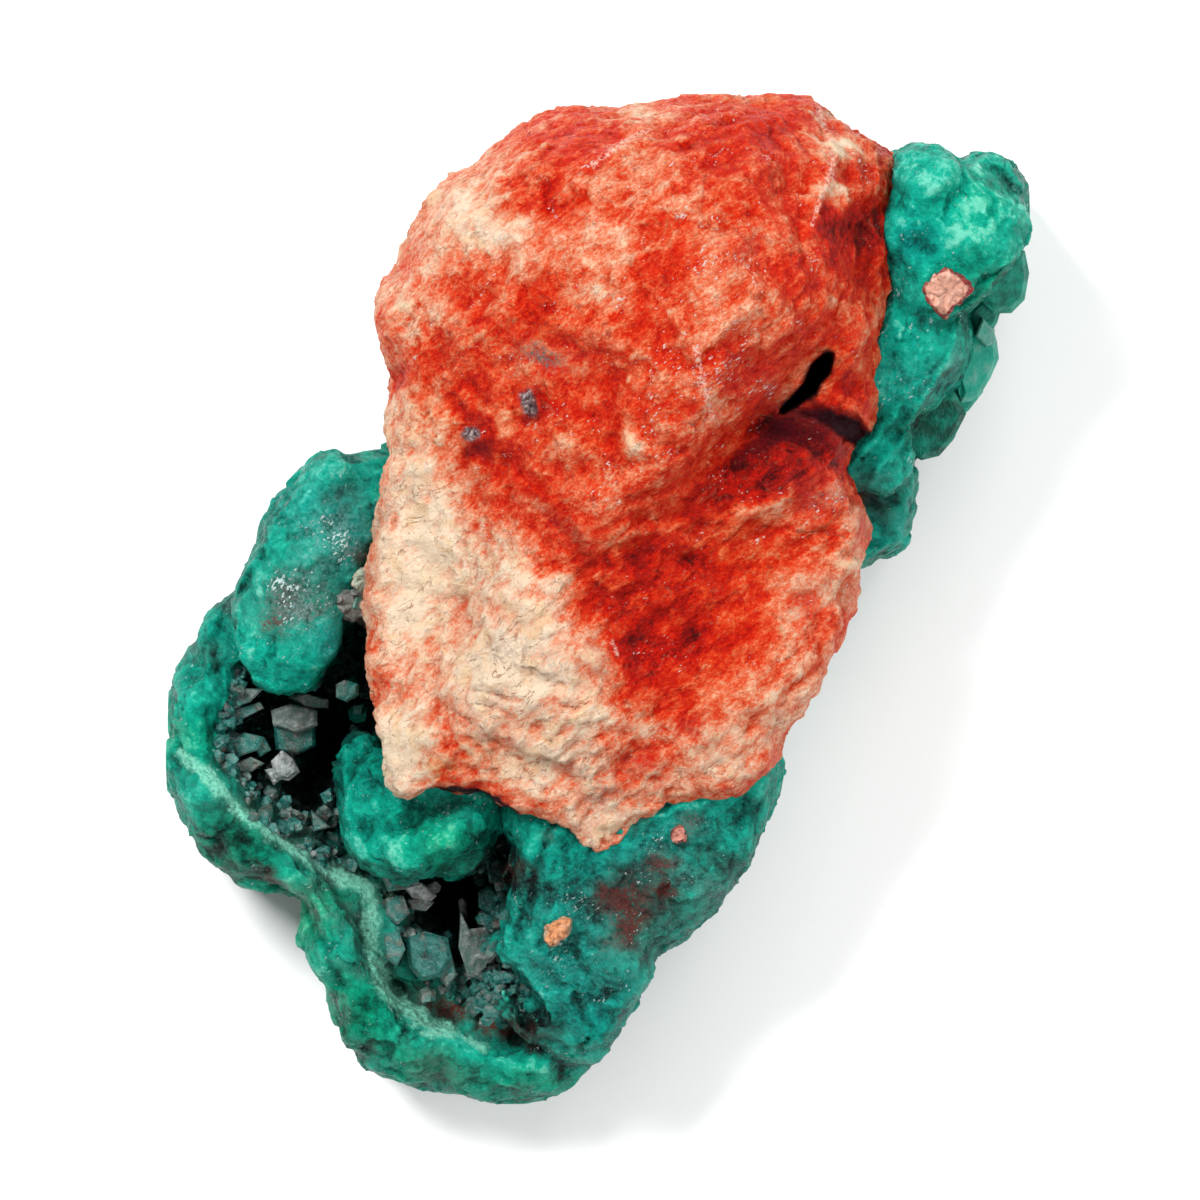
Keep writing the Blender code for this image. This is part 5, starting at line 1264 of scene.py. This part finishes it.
# The tone paints steep flanks and creases darker, as shade, lightens what stands out, and darkens the dark
# marks, which are partly painted shade.
tone = wires.add(
    0.52, wires.swing(clouds, 0.60), wires.swing(mottle, 0.80),
    wires.swing(faces, 0.40),
    wires.swing(fine, 0.50), (bright, 0.22), (dark, -0.30), (wires.mask("flank"), -0.10),
    (wires.mask("raised"), 0.13),
)
colour = wires.ramp(tone, [
    (0.00, (0.0004, 0.006, 0.006)), (0.18, (0.0005, 0.032, 0.026)), (0.34, (0.0005, 0.110, 0.080)),
    (0.48, (0.0008, 0.205, 0.148)), (0.62, (0.001, 0.300, 0.215)), (0.80, (0.006, 0.420, 0.300)),
    (1.00, (0.160, 0.640, 0.490)),
])
emerald = wires.times(wires.mask("emerald"), 0.75, clamp=True)
colour = wires.mix(emerald, colour, (0.6, 0.95, 0.62, 1), "MULTIPLY")
bluish = wires.times(wires.mask("bluish"), 0.8, clamp=True)
colour = wires.mix(bluish, colour, (1.0, 0.80, 0.98, 1), "MULTIPLY")
greyed = wires.times(wires.mask("greyed"), wires.between(mottle, 0.38, 0.62, 0.15, 0.75), clamp=True)
colour = wires.mix(greyed, colour, (0.085, 0.125, 0.110, 1))
brown = wires.times(wires.mask("brown"), wires.between(fine, 0.36, 0.62, 0.15, 1.1), clamp=True)
colour = wires.mix(brown, colour, (0.100, 0.012, 0.008, 1))
mint_edge = wires.add(
    wires.mask("mint"), wires.swing(mottle, 5.5), wires.swing(clouds, 5.0)
)
mint = wires.times(wires.between(mint_edge, 2.0, 0.4), wires.between(fine, 0.34, 0.60, 0.25, 1.0))
colour = wires.mix(mint, colour, (0.23, 0.66, 0.49, 1))
# Frosted patches: a paler tinge, and denser pale specks.
frost = wires.mask("frost")
specks_and_glints, uneven = sparkle_of(wires, 50, 8.0, wires.add(0.018, (frost, 0.12)))
frosted = wires.times(frost, wires.between(fine, 0.42, 0.60, 0.0, 0.6), clamp=True)
colour = wires.mix(frosted, colour, (0.16, 0.36, 0.34, 1))
# Painted shade: the hollows are painted nearly black with a fine grain, and their pits black.
hollow = wires.mask("hollow")
hollow_grain_and_shade = wires.ramp(wires.noise(here, 2.6, 4, 0.7), [
    (0.34, (0.002, 0.004, 0.004)), (0.47, (0.012, 0.038, 0.032)), (0.58, (0.050, 0.095, 0.080)),
    (0.72, (0.17, 0.20, 0.175)),
])
hollow_grain_and_shade = wires.mix(wires.mask("pit"), hollow_grain_and_shade, (0.0008, 0.0010, 0.002, 1))
colour = wires.mix(hollow, colour, hollow_grain_and_shade)
outside = wires.math("SUBTRACT", 1.0, hollow, clamp=True)
# Pale specks, partly white dust and partly painted glints, denser in the frosted patches and none in the
# hollows.
specks_and_glints_share = wires.times(wires.times(specks_and_glints, outside), wires.between(frost, 0.2, 1.0, 0.55, 0.9))
colour = wires.mix(specks_and_glints_share, colour, (0.62, 0.79, 0.76, 1))
wires.give(shader, "Base Color", colour)
wires.give(shader, "Roughness", wires.between(uneven, 0.40, 0.62, 0.20, 0.55))
relief = wires.add(uneven, (specks_and_glints, 0.4), (mottle, 0.8), (faces, 0.35))
wires.give(shader, "Normal", wires.bump(relief, 1.0, 0.20))
wires.give(shader, "Specular IOR Level", 0.10)
crust.data.materials.append(green)
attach(crust, "root")
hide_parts("dioptase_crust")


# The crystals in the two hollows
# Small glassy dioptase crystals, nearly black in the shade, that stand on the floors and benches
# of the hollows. Each is a six-sided prism with three rhombohedral end faces, grown in place.

RHOMB_SLOPE = 1.233  # how far an end face falls per millimetre of its prism's radius
# Crystals that show one by one: x, y, foot height, heading, climb, radius, length, greyness
NAMED_CRYSTALS = {
    "left": [
        (-14.1, -7.4, 4.4, 110, 66, 0.5, 1.5, 1.0), (-14.6, -7.9, 4.3, 160, 60, 0.4, 1.2, 0.85),
        (-12.6, -9.9, 4.8, 60, 60, 0.4, 1.1, 0.6), (-16.7, -7.4, 5.8, 200, 40, 0.35, 1.0, 0.5),
        (-16.0, -8.5, 6.2, 160, 50, 0.4, 1.0, 0.4), (-12.2, -11.0, 5.4, 60, 60, 0.4, 1.0, 0.45),
        (-11.0, -6.1, 4.6, 120, 40, 0.25, 0.7, 0.3), (-11.7, -7.4, 3.6, 20, 70, 0.15, 0.5, 0.9),
        (-14.9, -9.0, 5.6, 100, 60, 0.35, 1.0, 0.6), (-13.9, -10.0, 5.4, 60, 60, 0.35, 1.0, 0.5),
        (-11.2, -11.3, 6.2, 80, 60, 0.4, 0.9, 0.5),
    ],
    "lower": [
        (-8.6, -13.0, 5.2, 60, 30, 0.25, 0.9, 0.95), (-8.1, -13.3, 5.2, 20, 20, 0.3, 1.0, 0.98),
        (-6.2, -14.5, 4.4, 95, 30, 0.18, 1.1, 0.9), (-6.5, -17.0, 4.6, -30, 60, 0.3, 0.9, 0.6),
        (-9.4, -14.0, 5.8, 120, 50, 0.35, 0.9, 0.5), (-9.2, -15.8, 6.0, 160, 60, 0.4, 0.9, 0.6),
        (-4.3, -12.6, 5.8, 30, 50, 0.4, 1.0, 0.25), (-7.9, -17.8, 5.6, -60, 60, 0.4, 0.9, 0.55),
        (-5.8, -18.4, 5.8, -60, 60, 0.4, 0.9, 0.5), (-4.5, -19.0, 6.2, -40, 60, 0.4, 0.8, 0.4),
    ],
}
DRUSE = {"left": (560, 21), "lower": (480, 22)}  # how many small ones, and the random seed
PIT_EDGE = 0.35  # no small ones stand where a pit is darker than this
HIGHEST_FOOT = 8.8
SUNK = 0.12  # how deep a small one's foot lies in the crust
# Plates and blocks that show one by one: low and top heights, the top's slope in x and y, how
# far the top is drawn in, greyness, and the outline
HOLLOW_BLOCKS = {
    "left": [
        (3.6, 7.4, (0.1, 0.25), 0.15, 0.72, [
            (-14.9, -5.0), (-14.0, -4.7), (-12.8, -5.0), (-12.8, -5.7), (-13.7, -6.0), (-14.8, -5.7),
        ]),
        (3.4, 6.6, (0.1, 0.3), 0.15, 0.27, [
            (-14.8, -5.7), (-13.9, -5.9), (-12.9, -5.7), (-12.9, -6.6), (-13.7, -7.0), (-14.7, -6.8),
        ]),
        (3.6, 7.2, (-0.3, 0.4), 0.3, 0.9, [
            (-14.9, -7.3), (-14.4, -6.8), (-13.9, -7.2), (-13.6, -7.8), (-14.1, -8.2), (-14.7, -8.1),
        ]),
        (3.6, 6.8, (0.2, 0.5), 0.3, 0.82, [(-15.2, -7.7), (-14.8, -7.6), (-14.4, -8.1), (-14.8, -8.4)]),
        (4.4, 8.0, (0.5, 0.1), 0.15, 0.62, [
            (-17.8, -4.9), (-17.4, -4.4), (-16.2, -4.0), (-15.2, -4.0), (-15.8, -4.6), (-17.0, -5.1),
        ]),
        (4.4, 7.4, (0.4, 0.2), 0.15, 0.55, [
            (-17.5, -5.5), (-16.4, -4.9), (-15.4, -4.6), (-15.2, -4.9), (-16.4, -5.5), (-17.3, -5.9),
        ]),
        (4.2, 7.4, (0.3, 0.3), 0.2, 0.66, [
            (-14.1, -4.4), (-13.4, -4.2), (-12.3, -4.5), (-12.3, -4.9), (-13.3, -4.9),
        ]),
        (4.2, 7.6, (0.4, 0.1), 0.2, 0.48, [
            (-16.9, -6.5), (-16.1, -6.0), (-15.2, -6.2), (-15.5, -6.8), (-16.4, -7.1),
        ]),
        (4.2, 7.0, (0.3, 0.4), 0.2, 0.7, [
            (-16.6, -7.4), (-15.8, -7.1), (-15.2, -7.4), (-15.8, -7.8), (-16.4, -7.8),
        ]),
        (4.4, 7.4, (0.3, 0.3), 0.2, 0.35, [(-15.8, -6.5), (-15.2, -6.2), (-14.9, -6.8), (-15.4, -7.1)]),
        (4.6, 7.2, (0.2, 0.3), 0.2, 0.6, [(-13.1, -9.5), (-12.2, -10.3), (-13.0, -10.5)]),
        (4.4, 6.6, (0.2, 0.3), 0.2, 0.5, [(-12.7, -8.8), (-12.2, -8.5), (-12.1, -9.1), (-12.5, -9.3)]),
        (4.8, 10.0, (-0.2, 0.3), 0.25, 0.45, [
            (-11.9, -3.8), (-11.5, -3.6), (-10.9, -3.8), (-10.9, -4.3), (-11.4, -4.6), (-11.9, -4.4),
        ]),
        (5.0, 7.2, (0.2, 0.3), 0.2, 0.4, [(-11.2, -4.8), (-10.7, -4.7), (-10.8, -5.2), (-11.2, -5.2)]),
    ],
    "lower": [
        (4.0, 7.6, (-0.3, 0.5), 0.12, 0.7, [
            (-6.3, -14.1), (-6.0, -14.9), (-5.2, -14.8), (-4.5, -15.2), (-4.6, -16.1), (-5.3, -17.3),
            (-6.0, -17.0), (-6.4, -15.7),
        ]),
        (4.0, 7.2, (0.2, 0.4), 0.2, 0.97, [
            (-8.9, -13.0), (-8.1, -12.8), (-7.4, -13.4), (-7.7, -13.7), (-8.5, -13.5),
        ]),
        (4.0, 7.0, (0.3, 0.2), 0.2, 0.8, [
            (-8.7, -13.6), (-8.1, -13.5), (-7.5, -13.7), (-7.9, -14.1), (-8.6, -14.0),
        ]),
        (3.8, 7.2, (0.2, 0.3), 0.2, 0.28, [
            (-8.8, -15.3), (-7.9, -15.0), (-6.9, -15.3), (-6.7, -16.2), (-7.2, -17.1), (-8.1, -17.3),
            (-8.7, -16.6),
        ]),
        (3.8, 6.6, (0.3, 0.3), 0.2, 0.55, [
            (-7.2, -16.3), (-6.7, -16.2), (-6.5, -17.0), (-6.9, -17.6), (-7.3, -17.2),
        ]),
        (4.4, 7.6, (0.3, 0.1), 0.2, 0.62, [
            (-9.9, -12.5), (-9.1, -12.2), (-8.5, -12.6), (-8.8, -13.1), (-9.6, -13.2),
        ]),
        (4.4, 7.4, (0.4, 0.2), 0.2, 0.58, [
            (-9.7, -13.5), (-8.9, -13.4), (-8.6, -14.2), (-9.2, -14.7), (-9.7, -14.3),
        ]),
        (4.4, 7.8, (0.3, 0.2), 0.2, 0.5, [
            (-9.8, -15.1), (-9.1, -15.0), (-8.8, -15.8), (-9.2, -16.6), (-9.7, -16.2),
        ]),
        (4.2, 7.8, (-0.3, 0.2), 0.25, 0.28, [
            (-5.5, -13.2), (-5.0, -12.9), (-4.4, -13.3), (-4.5, -14.1), (-5.0, -14.4), (-5.5, -13.9),
        ]),
        (4.2, 8.2, (-0.4, 0.2), 0.25, 0.16, [
            (-5.2, -11.8), (-4.6, -11.6), (-4.1, -12.2), (-4.4, -13.0), (-5.0, -12.8),
        ]),
    ],
}


def block_grid(low, high, slope, drawn, outline):
    """Points of a block: its outline at the low height, the outline again a little under a tilted
    top plane, and the top's own outline, drawn in towards the middle; poles close both ends."""
    ring = np.array(outline)
    middle = ring.mean(axis=0)
    shares = np.array([0.0, 0.92, 1.0, 1.0 - drawn, 0.0])[:, None, None]
    plan = middle + shares * (ring - middle)
    top = high + (plan - middle) @ np.array(slope)
    z = np.where(np.arange(5)[:, None] < 2, low, top)
    z[2] -= drawn * np.linalg.norm(ring - middle, axis=1)
    return np.dstack([plan, z])


def blocks_mesh(name, rows):
    """All the blocks of a list in one mesh, with flat faces."""
    bodies = [body_from("block", block_grid(*row[:4], row[5])) for row in rows]
    sizes = [len(body.data.vertices) for body in bodies]
    made = joined(name, bodies)
    made.data.shade_flat()
    move_points(made, inside_box(points_of(made)))
    add_mask(made, "greyness", np.repeat([row[4] for row in rows], sizes))
    return made


def crystal_mesh(name, feet, axes, radii, lengths, turns, greyness, flatness):
    """Many crystals in one mesh. Each prism's corners lie on a circle round its axis, squeezed to
    an ellipse by the flatness, and its end faces fall from the tip by the rhomb slope times the
    radius, to every second corner."""
    count = len(feet)
    angles = np.radians(np.arange(0, 360, 60)) + turns[:, None]
    fall = np.tile([1.0, 0.5], 3) * RHOMB_SLOPE * radii[:, None]
    ring = np.stack([np.cos(angles), flatness[:, None] * np.sin(angles)], axis=-1) * radii[:, None, None]
    local = np.zeros((count, 13, 3))
    local[:, :6, :2] = ring
    local[:, 6:12, :2] = ring
    local[:, 6:12, 2] = lengths[:, None] - fall
    local[:, 12, 2] = lengths
    axes = axes / np.linalg.norm(axes, axis=1, keepdims=True)
    helper = np.where(np.abs(axes[:, 2:]) < 0.9, [[0.0, 0.0, 1.0]], [[1.0, 0.0, 0.0]])
    first = np.cross(helper, axes)
    first /= np.linalg.norm(first, axis=1, keepdims=True)
    second = np.cross(axes, first)
    frames = np.stack([first, second, axes], axis=1)
    points = feet[:, None] + local @ frames
    around = np.arange(6)
    sides = np.stack([around, (around + 1) % 6, 6 + (around + 1) % 6, 6 + around], axis=1)
    even = np.array([0, 2, 4])
    caps = np.stack([np.full(3, 12), 6 + (even - 1) % 6, 6 + even, 6 + (even + 1) % 6], axis=1)
    quads = np.concatenate([sides, caps])
    starts = 13 * np.arange(count)[:, None, None]
    bottoms = np.arange(5, -1, -1) + 13 * np.arange(count)[:, None]
    made = write_mesh(name, points.reshape(-1, 3), (quads + starts).reshape(-1, 4), bottoms)
    made.data.shade_flat()
    add_mask(made, "greyness", np.repeat(greyness, 13))
    return made


def direction(heading, climb):
    """Unit vectors from headings round z and climbs above the level, in degrees."""
    heading, climb = np.radians(heading), np.radians(climb)
    level_share = np.cos(climb)
    return np.stack([level_share * np.cos(heading), level_share * np.sin(heading), np.sin(climb)], axis=-1)


glass, wires, shader = new_material("dark glassy dioptase")
grey = wires.mask("greyness")
veil = wires.noise(wires.place(), 2.2, 5, 0.65)
colour = wires.ramp(wires.add(grey, wires.swing(veil, 1.3)), [
    (0.00, (0.001, 0.010, 0.010)), (0.25, (0.003, 0.110, 0.092)), (0.45, (0.02, 0.165, 0.140)),
    (0.62, (0.10, 0.150, 0.130)), (0.80, (0.20, 0.235, 0.220)), (1.00, (0.46, 0.49, 0.48)),
])
rusty = wires.between(wires.noise(wires.place(), 0.9, 4, 0.6), 0.52, 0.66, 0.0, 0.6)
colour = wires.mix(rusty, colour, (0.10, 0.055, 0.040, 1))
wires.give(shader, "Base Color", colour)
wires.give(shader, "Roughness", 0.22)
wires.give(shader, "IOR", 1.66)
wires.give(shader, "Specular IOR Level", 0.35)
wires.give(shader, "Transmission Weight", 0.15)
wires.give(shader, "Normal", wires.bump(veil, 1.0, 0.25))

crust_points = points_of(crust)
crust_normals = vertex_normals(crust)
for side, node in (("left", "left_hollow_crystals"), ("lower", "lower_hollow_crystals")):
    middle, floor_height, rim, outline = HOLLOWS[side]
    count, seed = DRUSE[side]
    dice = np.random.default_rng(seed)
    depth = depth_in(crust_points, middle, outline)
    lit = spots(crust_points, PITS) < PIT_EDGE
    low_enough = crust_points[:, 2] < HIGHEST_FOOT
    usable = np.flatnonzero(lit & (depth > 0.02) & low_enough & (crust_normals[:, 2] > 0.1))
    chosen = dice.choice(usable, count)
    tilt = dice.normal(0, 0.55, (count, 3))
    radii = 0.08 + 0.24 * dice.random(count) ** 2
    small = dict(
        feet=crust_points[chosen] - SUNK * crust_normals[chosen], axes=crust_normals[chosen] + tilt,
        radii=radii, lengths=radii * dice.uniform(1.8, 3.4, count),
        greyness=np.clip(dice.normal(0.36, 0.20, count), 0, 0.72),
    )
    large = np.array(NAMED_CRYSTALS[side])
    columns = dict(
        feet=large[:, :3], axes=direction(large[:, 3], large[:, 4]), radii=large[:, 5],
        lengths=large[:, 6], greyness=large[:, 7],
    )
    both = {key: np.concatenate([small[key], columns[key]]) for key in small}
    total = count + len(large)
    druse = crystal_mesh(
        side + "_druse", **both,
        turns=dice.uniform(0, math.pi, total), flatness=dice.uniform(0.3, 1.0, total),
    )
    for piece in (druse, blocks_mesh(side + "_blocks", HOLLOW_BLOCKS[side])):
        piece.data.materials.append(glass)
        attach(piece, "root")
        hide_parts(node)


# The blocky crystals of the right edge and the flanks
# Stout green crystals that grew outwards from the crust, larger at the right edge of the
# specimen and small round its foot.

# Foot x, y, z, heading, climb, radius, length, greyness
EDGE_CRYSTALS = [
    (18.5, 17.3, 8.4, 10, 25, 1.0, 2.0, 0.25), (13.2, 4.6, 6.4, -20, 15, 0.7, 1.2, 0.4),
    (-11.4, -4.2, 6.8, 80, 62, 0.5, 1.3, 0.55), (-11.2, -5.2, 5.6, 10, 50, 0.4, 1.0, 0.45),
    (-11.2, -0.3, 10.4, 60, 62, 0.6, 1.3, 0.85), (-10.5, -0.7, 9.8, 20, 60, 0.45, 1.0, 0.7),
]
FLANK_COUNT = 320
FLANK_INSET = 1.0  # how far a foot lies inside the base's outline
HOLLOW_MARGIN = -0.4  # no larger ones stand nearer to a hollow's outline than this depth
dice = np.random.default_rng(12)
angle = 2 * math.pi * (np.arange(FLANK_COUNT) + dice.uniform(-0.6, 0.6, FLANK_COUNT)) / FLANK_COUNT
height = dice.uniform(1.2, 6.4, FLANK_COUNT)
edge_reach = radius_round(BASE_OUTLINE, BASE_MIDDLE, angle)
reach = edge_reach - FLANK_INSET - 0.3 * np.maximum(height - BASE_RIM, 0)
feet_x = BASE_MIDDLE[0] + reach * np.cos(angle)
feet_y = BASE_MIDDLE[1] + reach * np.sin(angle)
feet = np.stack([feet_x, feet_y, height], axis=1)
radii = 0.25 + 0.6 * dice.random(FLANK_COUNT) ** 1.5
inside = [depth_in(feet, middle, outline) > HOLLOW_MARGIN for middle, _, _, outline in HOLLOWS.values()]
radii[np.any(inside, axis=0)] = 0.02
headings = np.degrees(angle) + dice.uniform(-40, 40, FLANK_COUNT)
outwards = direction(headings, dice.uniform(-10, 35, FLANK_COUNT))
edge = np.array(EDGE_CRYSTALS)
flank = crystal_mesh(
    "flank_crystals",
    np.concatenate([feet, edge[:, :3]]),
    np.concatenate([outwards, direction(edge[:, 3], edge[:, 4])]),
    np.append(radii, edge[:, 5]),
    np.append(np.minimum(0.9 + radii, 9 * radii), edge[:, 6]),
    dice.uniform(0, math.pi, FLANK_COUNT + len(edge)),
    np.append(dice.uniform(0.1, 0.5, FLANK_COUNT), edge[:, 7]),
    dice.uniform(0.6, 1.0, FLANK_COUNT + len(edge)),
)
move_points(flank, inside_box(points_of(flank)))

# Larger blocks of the right edge: low and top heights, the top's slope in x and y, how far the
# top is drawn in, greyness, and the outline
EDGE_BLOCKS = [
    (6.0, 12.0, (-0.35, 0.25), 0.22, 0.22, [
        (17.3, 15.2), (18.1, 15.8), (19.1, 15.7), (19.3, 14.7), (19.1, 13.5), (18.5, 12.9),
        (17.7, 12.9), (17.0, 13.6),
    ]),
    (6.0, 10.6, (-0.3, 0.2), 0.3, 0.15, [
        (17.3, 13.7), (18.1, 13.2), (17.9, 12.5), (17.5, 11.8), (16.8, 12.2), (16.6, 13.0),
    ]),
    (5.6, 10.2, (-0.5, 0.1), 0.25, 0.55, [
        (16.3, 11.8), (17.3, 12.5), (17.9, 11.7), (18.0, 10.9), (17.6, 10.0), (17.0, 9.0), (16.3, 8.9),
        (15.9, 10.3),
    ]),
    (5.6, 11.0, (-0.3, 0.5), 0.2, 0.85, [
        (17.2, 12.7), (17.7, 12.2), (17.9, 11.6), (17.4, 11.4), (16.9, 11.9),
    ]),
    (5.2, 9.6, (-0.3, 0.3), 0.2, 0.45, [
        (15.8, 9.7), (16.9, 10.0), (17.3, 9.4), (16.6, 8.5), (16.0, 8.4), (15.5, 8.9),
    ]),
    (4.6, 10.6, (0.1, 0.4), 0.18, 0.12, [
        (13.6, 8.6), (14.8, 9.8), (16.0, 9.3), (16.5, 8.4), (15.9, 7.2), (15.3, 6.5), (14.5, 6.3),
        (13.9, 6.6), (13.5, 7.6),
    ]),
    (4.4, 8.8, (-0.4, 0.0), 0.2, 0.2, [
        (13.2, 5.8), (13.9, 6.2), (14.3, 5.0), (14.1, 3.2), (13.6, 2.4), (12.9, 2.2), (12.6, 3.6),
    ]),
]
blocks = blocks_mesh("edge_blocks", EDGE_BLOCKS)

leaf, wires, shader = new_material("green glassy dioptase")
veil = wires.noise(wires.place(), 1.4, 6, 0.65)
colour = wires.ramp(wires.add(wires.mask("greyness"), wires.swing(veil, 1.4)), [
    (0.00, (0.0005, 0.060, 0.040)), (0.30, (0.001, 0.210, 0.140)), (0.55, (0.006, 0.270, 0.190)),
    (0.85, (0.110, 0.300, 0.240)),
])
wires.give(shader, "Base Color", colour)
wires.give(shader, "Roughness", 0.35)
wires.give(shader, "Specular IOR Level", 0.22)
wires.give(shader, "Normal", wires.bump(veil, 1.0, 0.30))
for piece in (flank, blocks):
    piece.data.materials.append(leaf)
    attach(piece, "root")
    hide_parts("dioptase_crust")


# Chips of other stone on the dioptase
# Small broken pieces of the cream and orange rock, and grey splinters, that are stuck on the
# crust or grown into it. Each is a thin flake that leans as the surface under it does.

# How far it stands up, colour at its middle, colour at its rim, and the outline
CHIPS = [
    (0.25, (0.7, 0.34, 0.24), (0.24, 0.01, 0.01), [
        (14.4, 13.8), (14.9, 14.4), (15.5, 14.8), (15.9, 14.6), (16.3, 14.3), (16.7, 14.0),
        (16.3, 13.5), (15.8, 13.1), (15.3, 12.6), (15.0, 13.0), (14.6, 13.3),
    ]),
    (0.4, (0.74, 0.3, 0.12), (0.36, 0.24, 0.15), [
        (-2.4, -14.9), (-2.2, -14.5), (-1.8, -14.3), (-1.3, -14.3), (-1.4, -14.8), (-1.8, -15.3),
        (-2.2, -15.6), (-2.5, -15.3),
    ]),
    (0.25, (0.6, 0.22, 0.16), (0.25, 0.05, 0.03), [
        (3.3, -10.3), (3.7, -10.2), (3.9, -10.6), (3.6, -10.8), (3.2, -10.6),
    ]),
    (0.55, (0.45, 0.6, 0.46), (0.62, 0.5, 0.36), [
        (-11.2, 0.7), (-10.9, 1.2), (-10.3, 1.4), (-10.1, 0.9), (-10.3, 0.4), (-10.8, 0.3),
    ]),
    (0.4, (0.22, 0.24, 0.22), (0.1, 0.14, 0.13), [
        (-11.8, 0.2), (-11.2, 0.4), (-10.5, 0.0), (-10.4, -0.5), (-10.9, -1.0), (-11.6, -0.6),
    ]),
    (0.3, (0.25, 0.27, 0.24), (0.14, 0.16, 0.14), [
        (-10.7, -0.5), (-10.3, -0.4), (-10.2, -0.9), (-10.5, -1.2), (-10.8, -0.9),
    ]),
]
FLAKE_REACH = 0.9  # how far round its middle the crust's slope is read
FLAKE_DEPTH = 1.4  # how deep a flake goes into the crust


def flake(name, lift, outline):
    """A rough flake on the crust: a low dome over a plane whose slope fits the crust's higher
    points near it and that most of them lie under, with its points shaken in small facets."""
    ring = np.array(outline)
    middle = ring.mean(axis=0)
    away = np.linalg.norm(crust_points[:, :2] - middle, axis=1)
    near = crust_points[(away < FLAKE_REACH) & (crust_normals[:, 2] > 0.2)]
    near = near[near[:, 2] > np.percentile(near[:, 2], 50)]
    sides = np.column_stack([near[:, :2] - middle, np.ones(len(near))])
    slope = np.clip(np.linalg.lstsq(sides, near[:, 2], rcond=None)[0][:2], -0.5, 0.5)
    height = np.percentile((near[:, 2] - (near[:, :2] - middle) @ slope), 80)
    low, rim, high = (plane(height + rise, slope, middle) for rise in (-FLAKE_DEPTH, -0.05, lift))
    made = body_from(name, domed_grid(
        outline, middle, low=low, rim=rim, high=high, grid=(72, 6, 18), profile=(0.3, 0.6),
    ))
    place = points_of(made)
    shaken = np.stack([0.12 * facets(place, 0.35, 200 + axis) for axis in range(3)], axis=-1)
    move_points(made, place + shaken + 0.10 * drift(place, 0.3, 1, 210))
    return made, middle


for number, (lift, inner, outer, outline) in enumerate(CHIPS):
    chip, middle = flake(f"chip_{number}", lift, outline)
    add_mask(chip, "rim", smoothstep(0.25, 0.05, depth_in(points_of(chip), middle, outline)))
    stone, wires, shader = new_material(f"chip {number}")
    grain = wires.noise(wires.place(), 3.0, 6, 0.8)
    ragged_rim = wires.noise(wires.place(), 1.3, 4, 0.7)
    edge = wires.add(wires.mask("rim"), wires.swing(ragged_rim, 4.0))
    colour = wires.mix(wires.between(edge, 0.4, 1.1), (*inner, 1), (*outer, 1))
    colour = wires.mix(wires.between(grain, 0.30, 0.52, 0.7, 0.0), colour, (0.10, 0.03, 0.02, 1))
    colour = wires.mix(wires.between(grain, 0.54, 0.66, 0.0, 0.6), colour, (0.86, 0.74, 0.64, 1))
    wires.give(shader, "Base Color", colour)
    wires.give(shader, "Roughness", 0.5)
    wires.give(shader, "Normal", wires.bump(grain, 1.0, 0.2))
    chip.data.materials.append(stone)
    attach(chip, "root")
    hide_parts("dioptase_crust")


# The floor, the lights and the camera
# A plain near-white table, one large soft lamp from the upper left, and weaker ones to fill the
# shadows. The camera hangs straight above, with a long lens, and its frame is 54 mm wide.

FRAME_WIDTH = 54.0
FOCUS_HEIGHT = 11.0
LENS = 400
SENSOR = 36
FLOOR_HALF = 900.0
LAMP_AIM = 8  # the height that the lamps face

corners = FLOOR_HALF * np.array([(-1, -1, 0), (1, -1, 0), (1, 1, 0), (-1, 1, 0)])
floor = write_mesh("floor", corners, [(0, 1, 2, 3)])
paper, wires, shader = new_material("pale table")
wires.give(shader, "Base Color", (0.93, 0.93, 0.93, 1))
wires.give(shader, "Roughness", 0.8)
wires.give(shader, "Specular IOR Level", 0.0)
floor.data.materials.append(paper)


def lamp(name, place, size, power):
    """A square area lamp at a place, turned to face the specimen; lengths in millimetres."""
    data = bpy.data.lights.new(name, "AREA")
    data.size = size * MM
    data.energy = power
    made = bpy.data.objects.new(name, data)
    x, y, z = place
    made.location = (x * MM, y * MM, z * MM)
    made.rotation_euler = (math.atan2(math.hypot(x, y), z - LAMP_AIM), 0, math.atan2(y, x) + math.pi / 2)
    bpy.context.scene.collection.objects.link(made)


lamp("key", (-150, 150, 300), 120, 1.75)
lamp("fill", (200, -130, 260), 240, 0.90)
lamp("back", (110, 230, 260), 180, 0.45)

world = bpy.data.worlds.new("studio")
bpy.context.scene.world = world
world.use_nodes = True
backdrop = world.node_tree.nodes["Background"]
backdrop.inputs["Color"].default_value = (1, 1, 1, 1)
backdrop.inputs["Strength"].default_value = 0.30
bpy.context.scene.view_settings.view_transform = "Standard"

lens = bpy.data.cameras.new("camera")
lens.lens = LENS
lens.sensor_width = SENSOR
lens.clip_end = 5
camera = bpy.data.objects.new("camera", lens)
camera.location = (0, 0, (FOCUS_HEIGHT + FRAME_WIDTH * LENS / SENSOR) * MM)
bpy.context.scene.collection.objects.link(camera)
bpy.context.scene.camera = camera
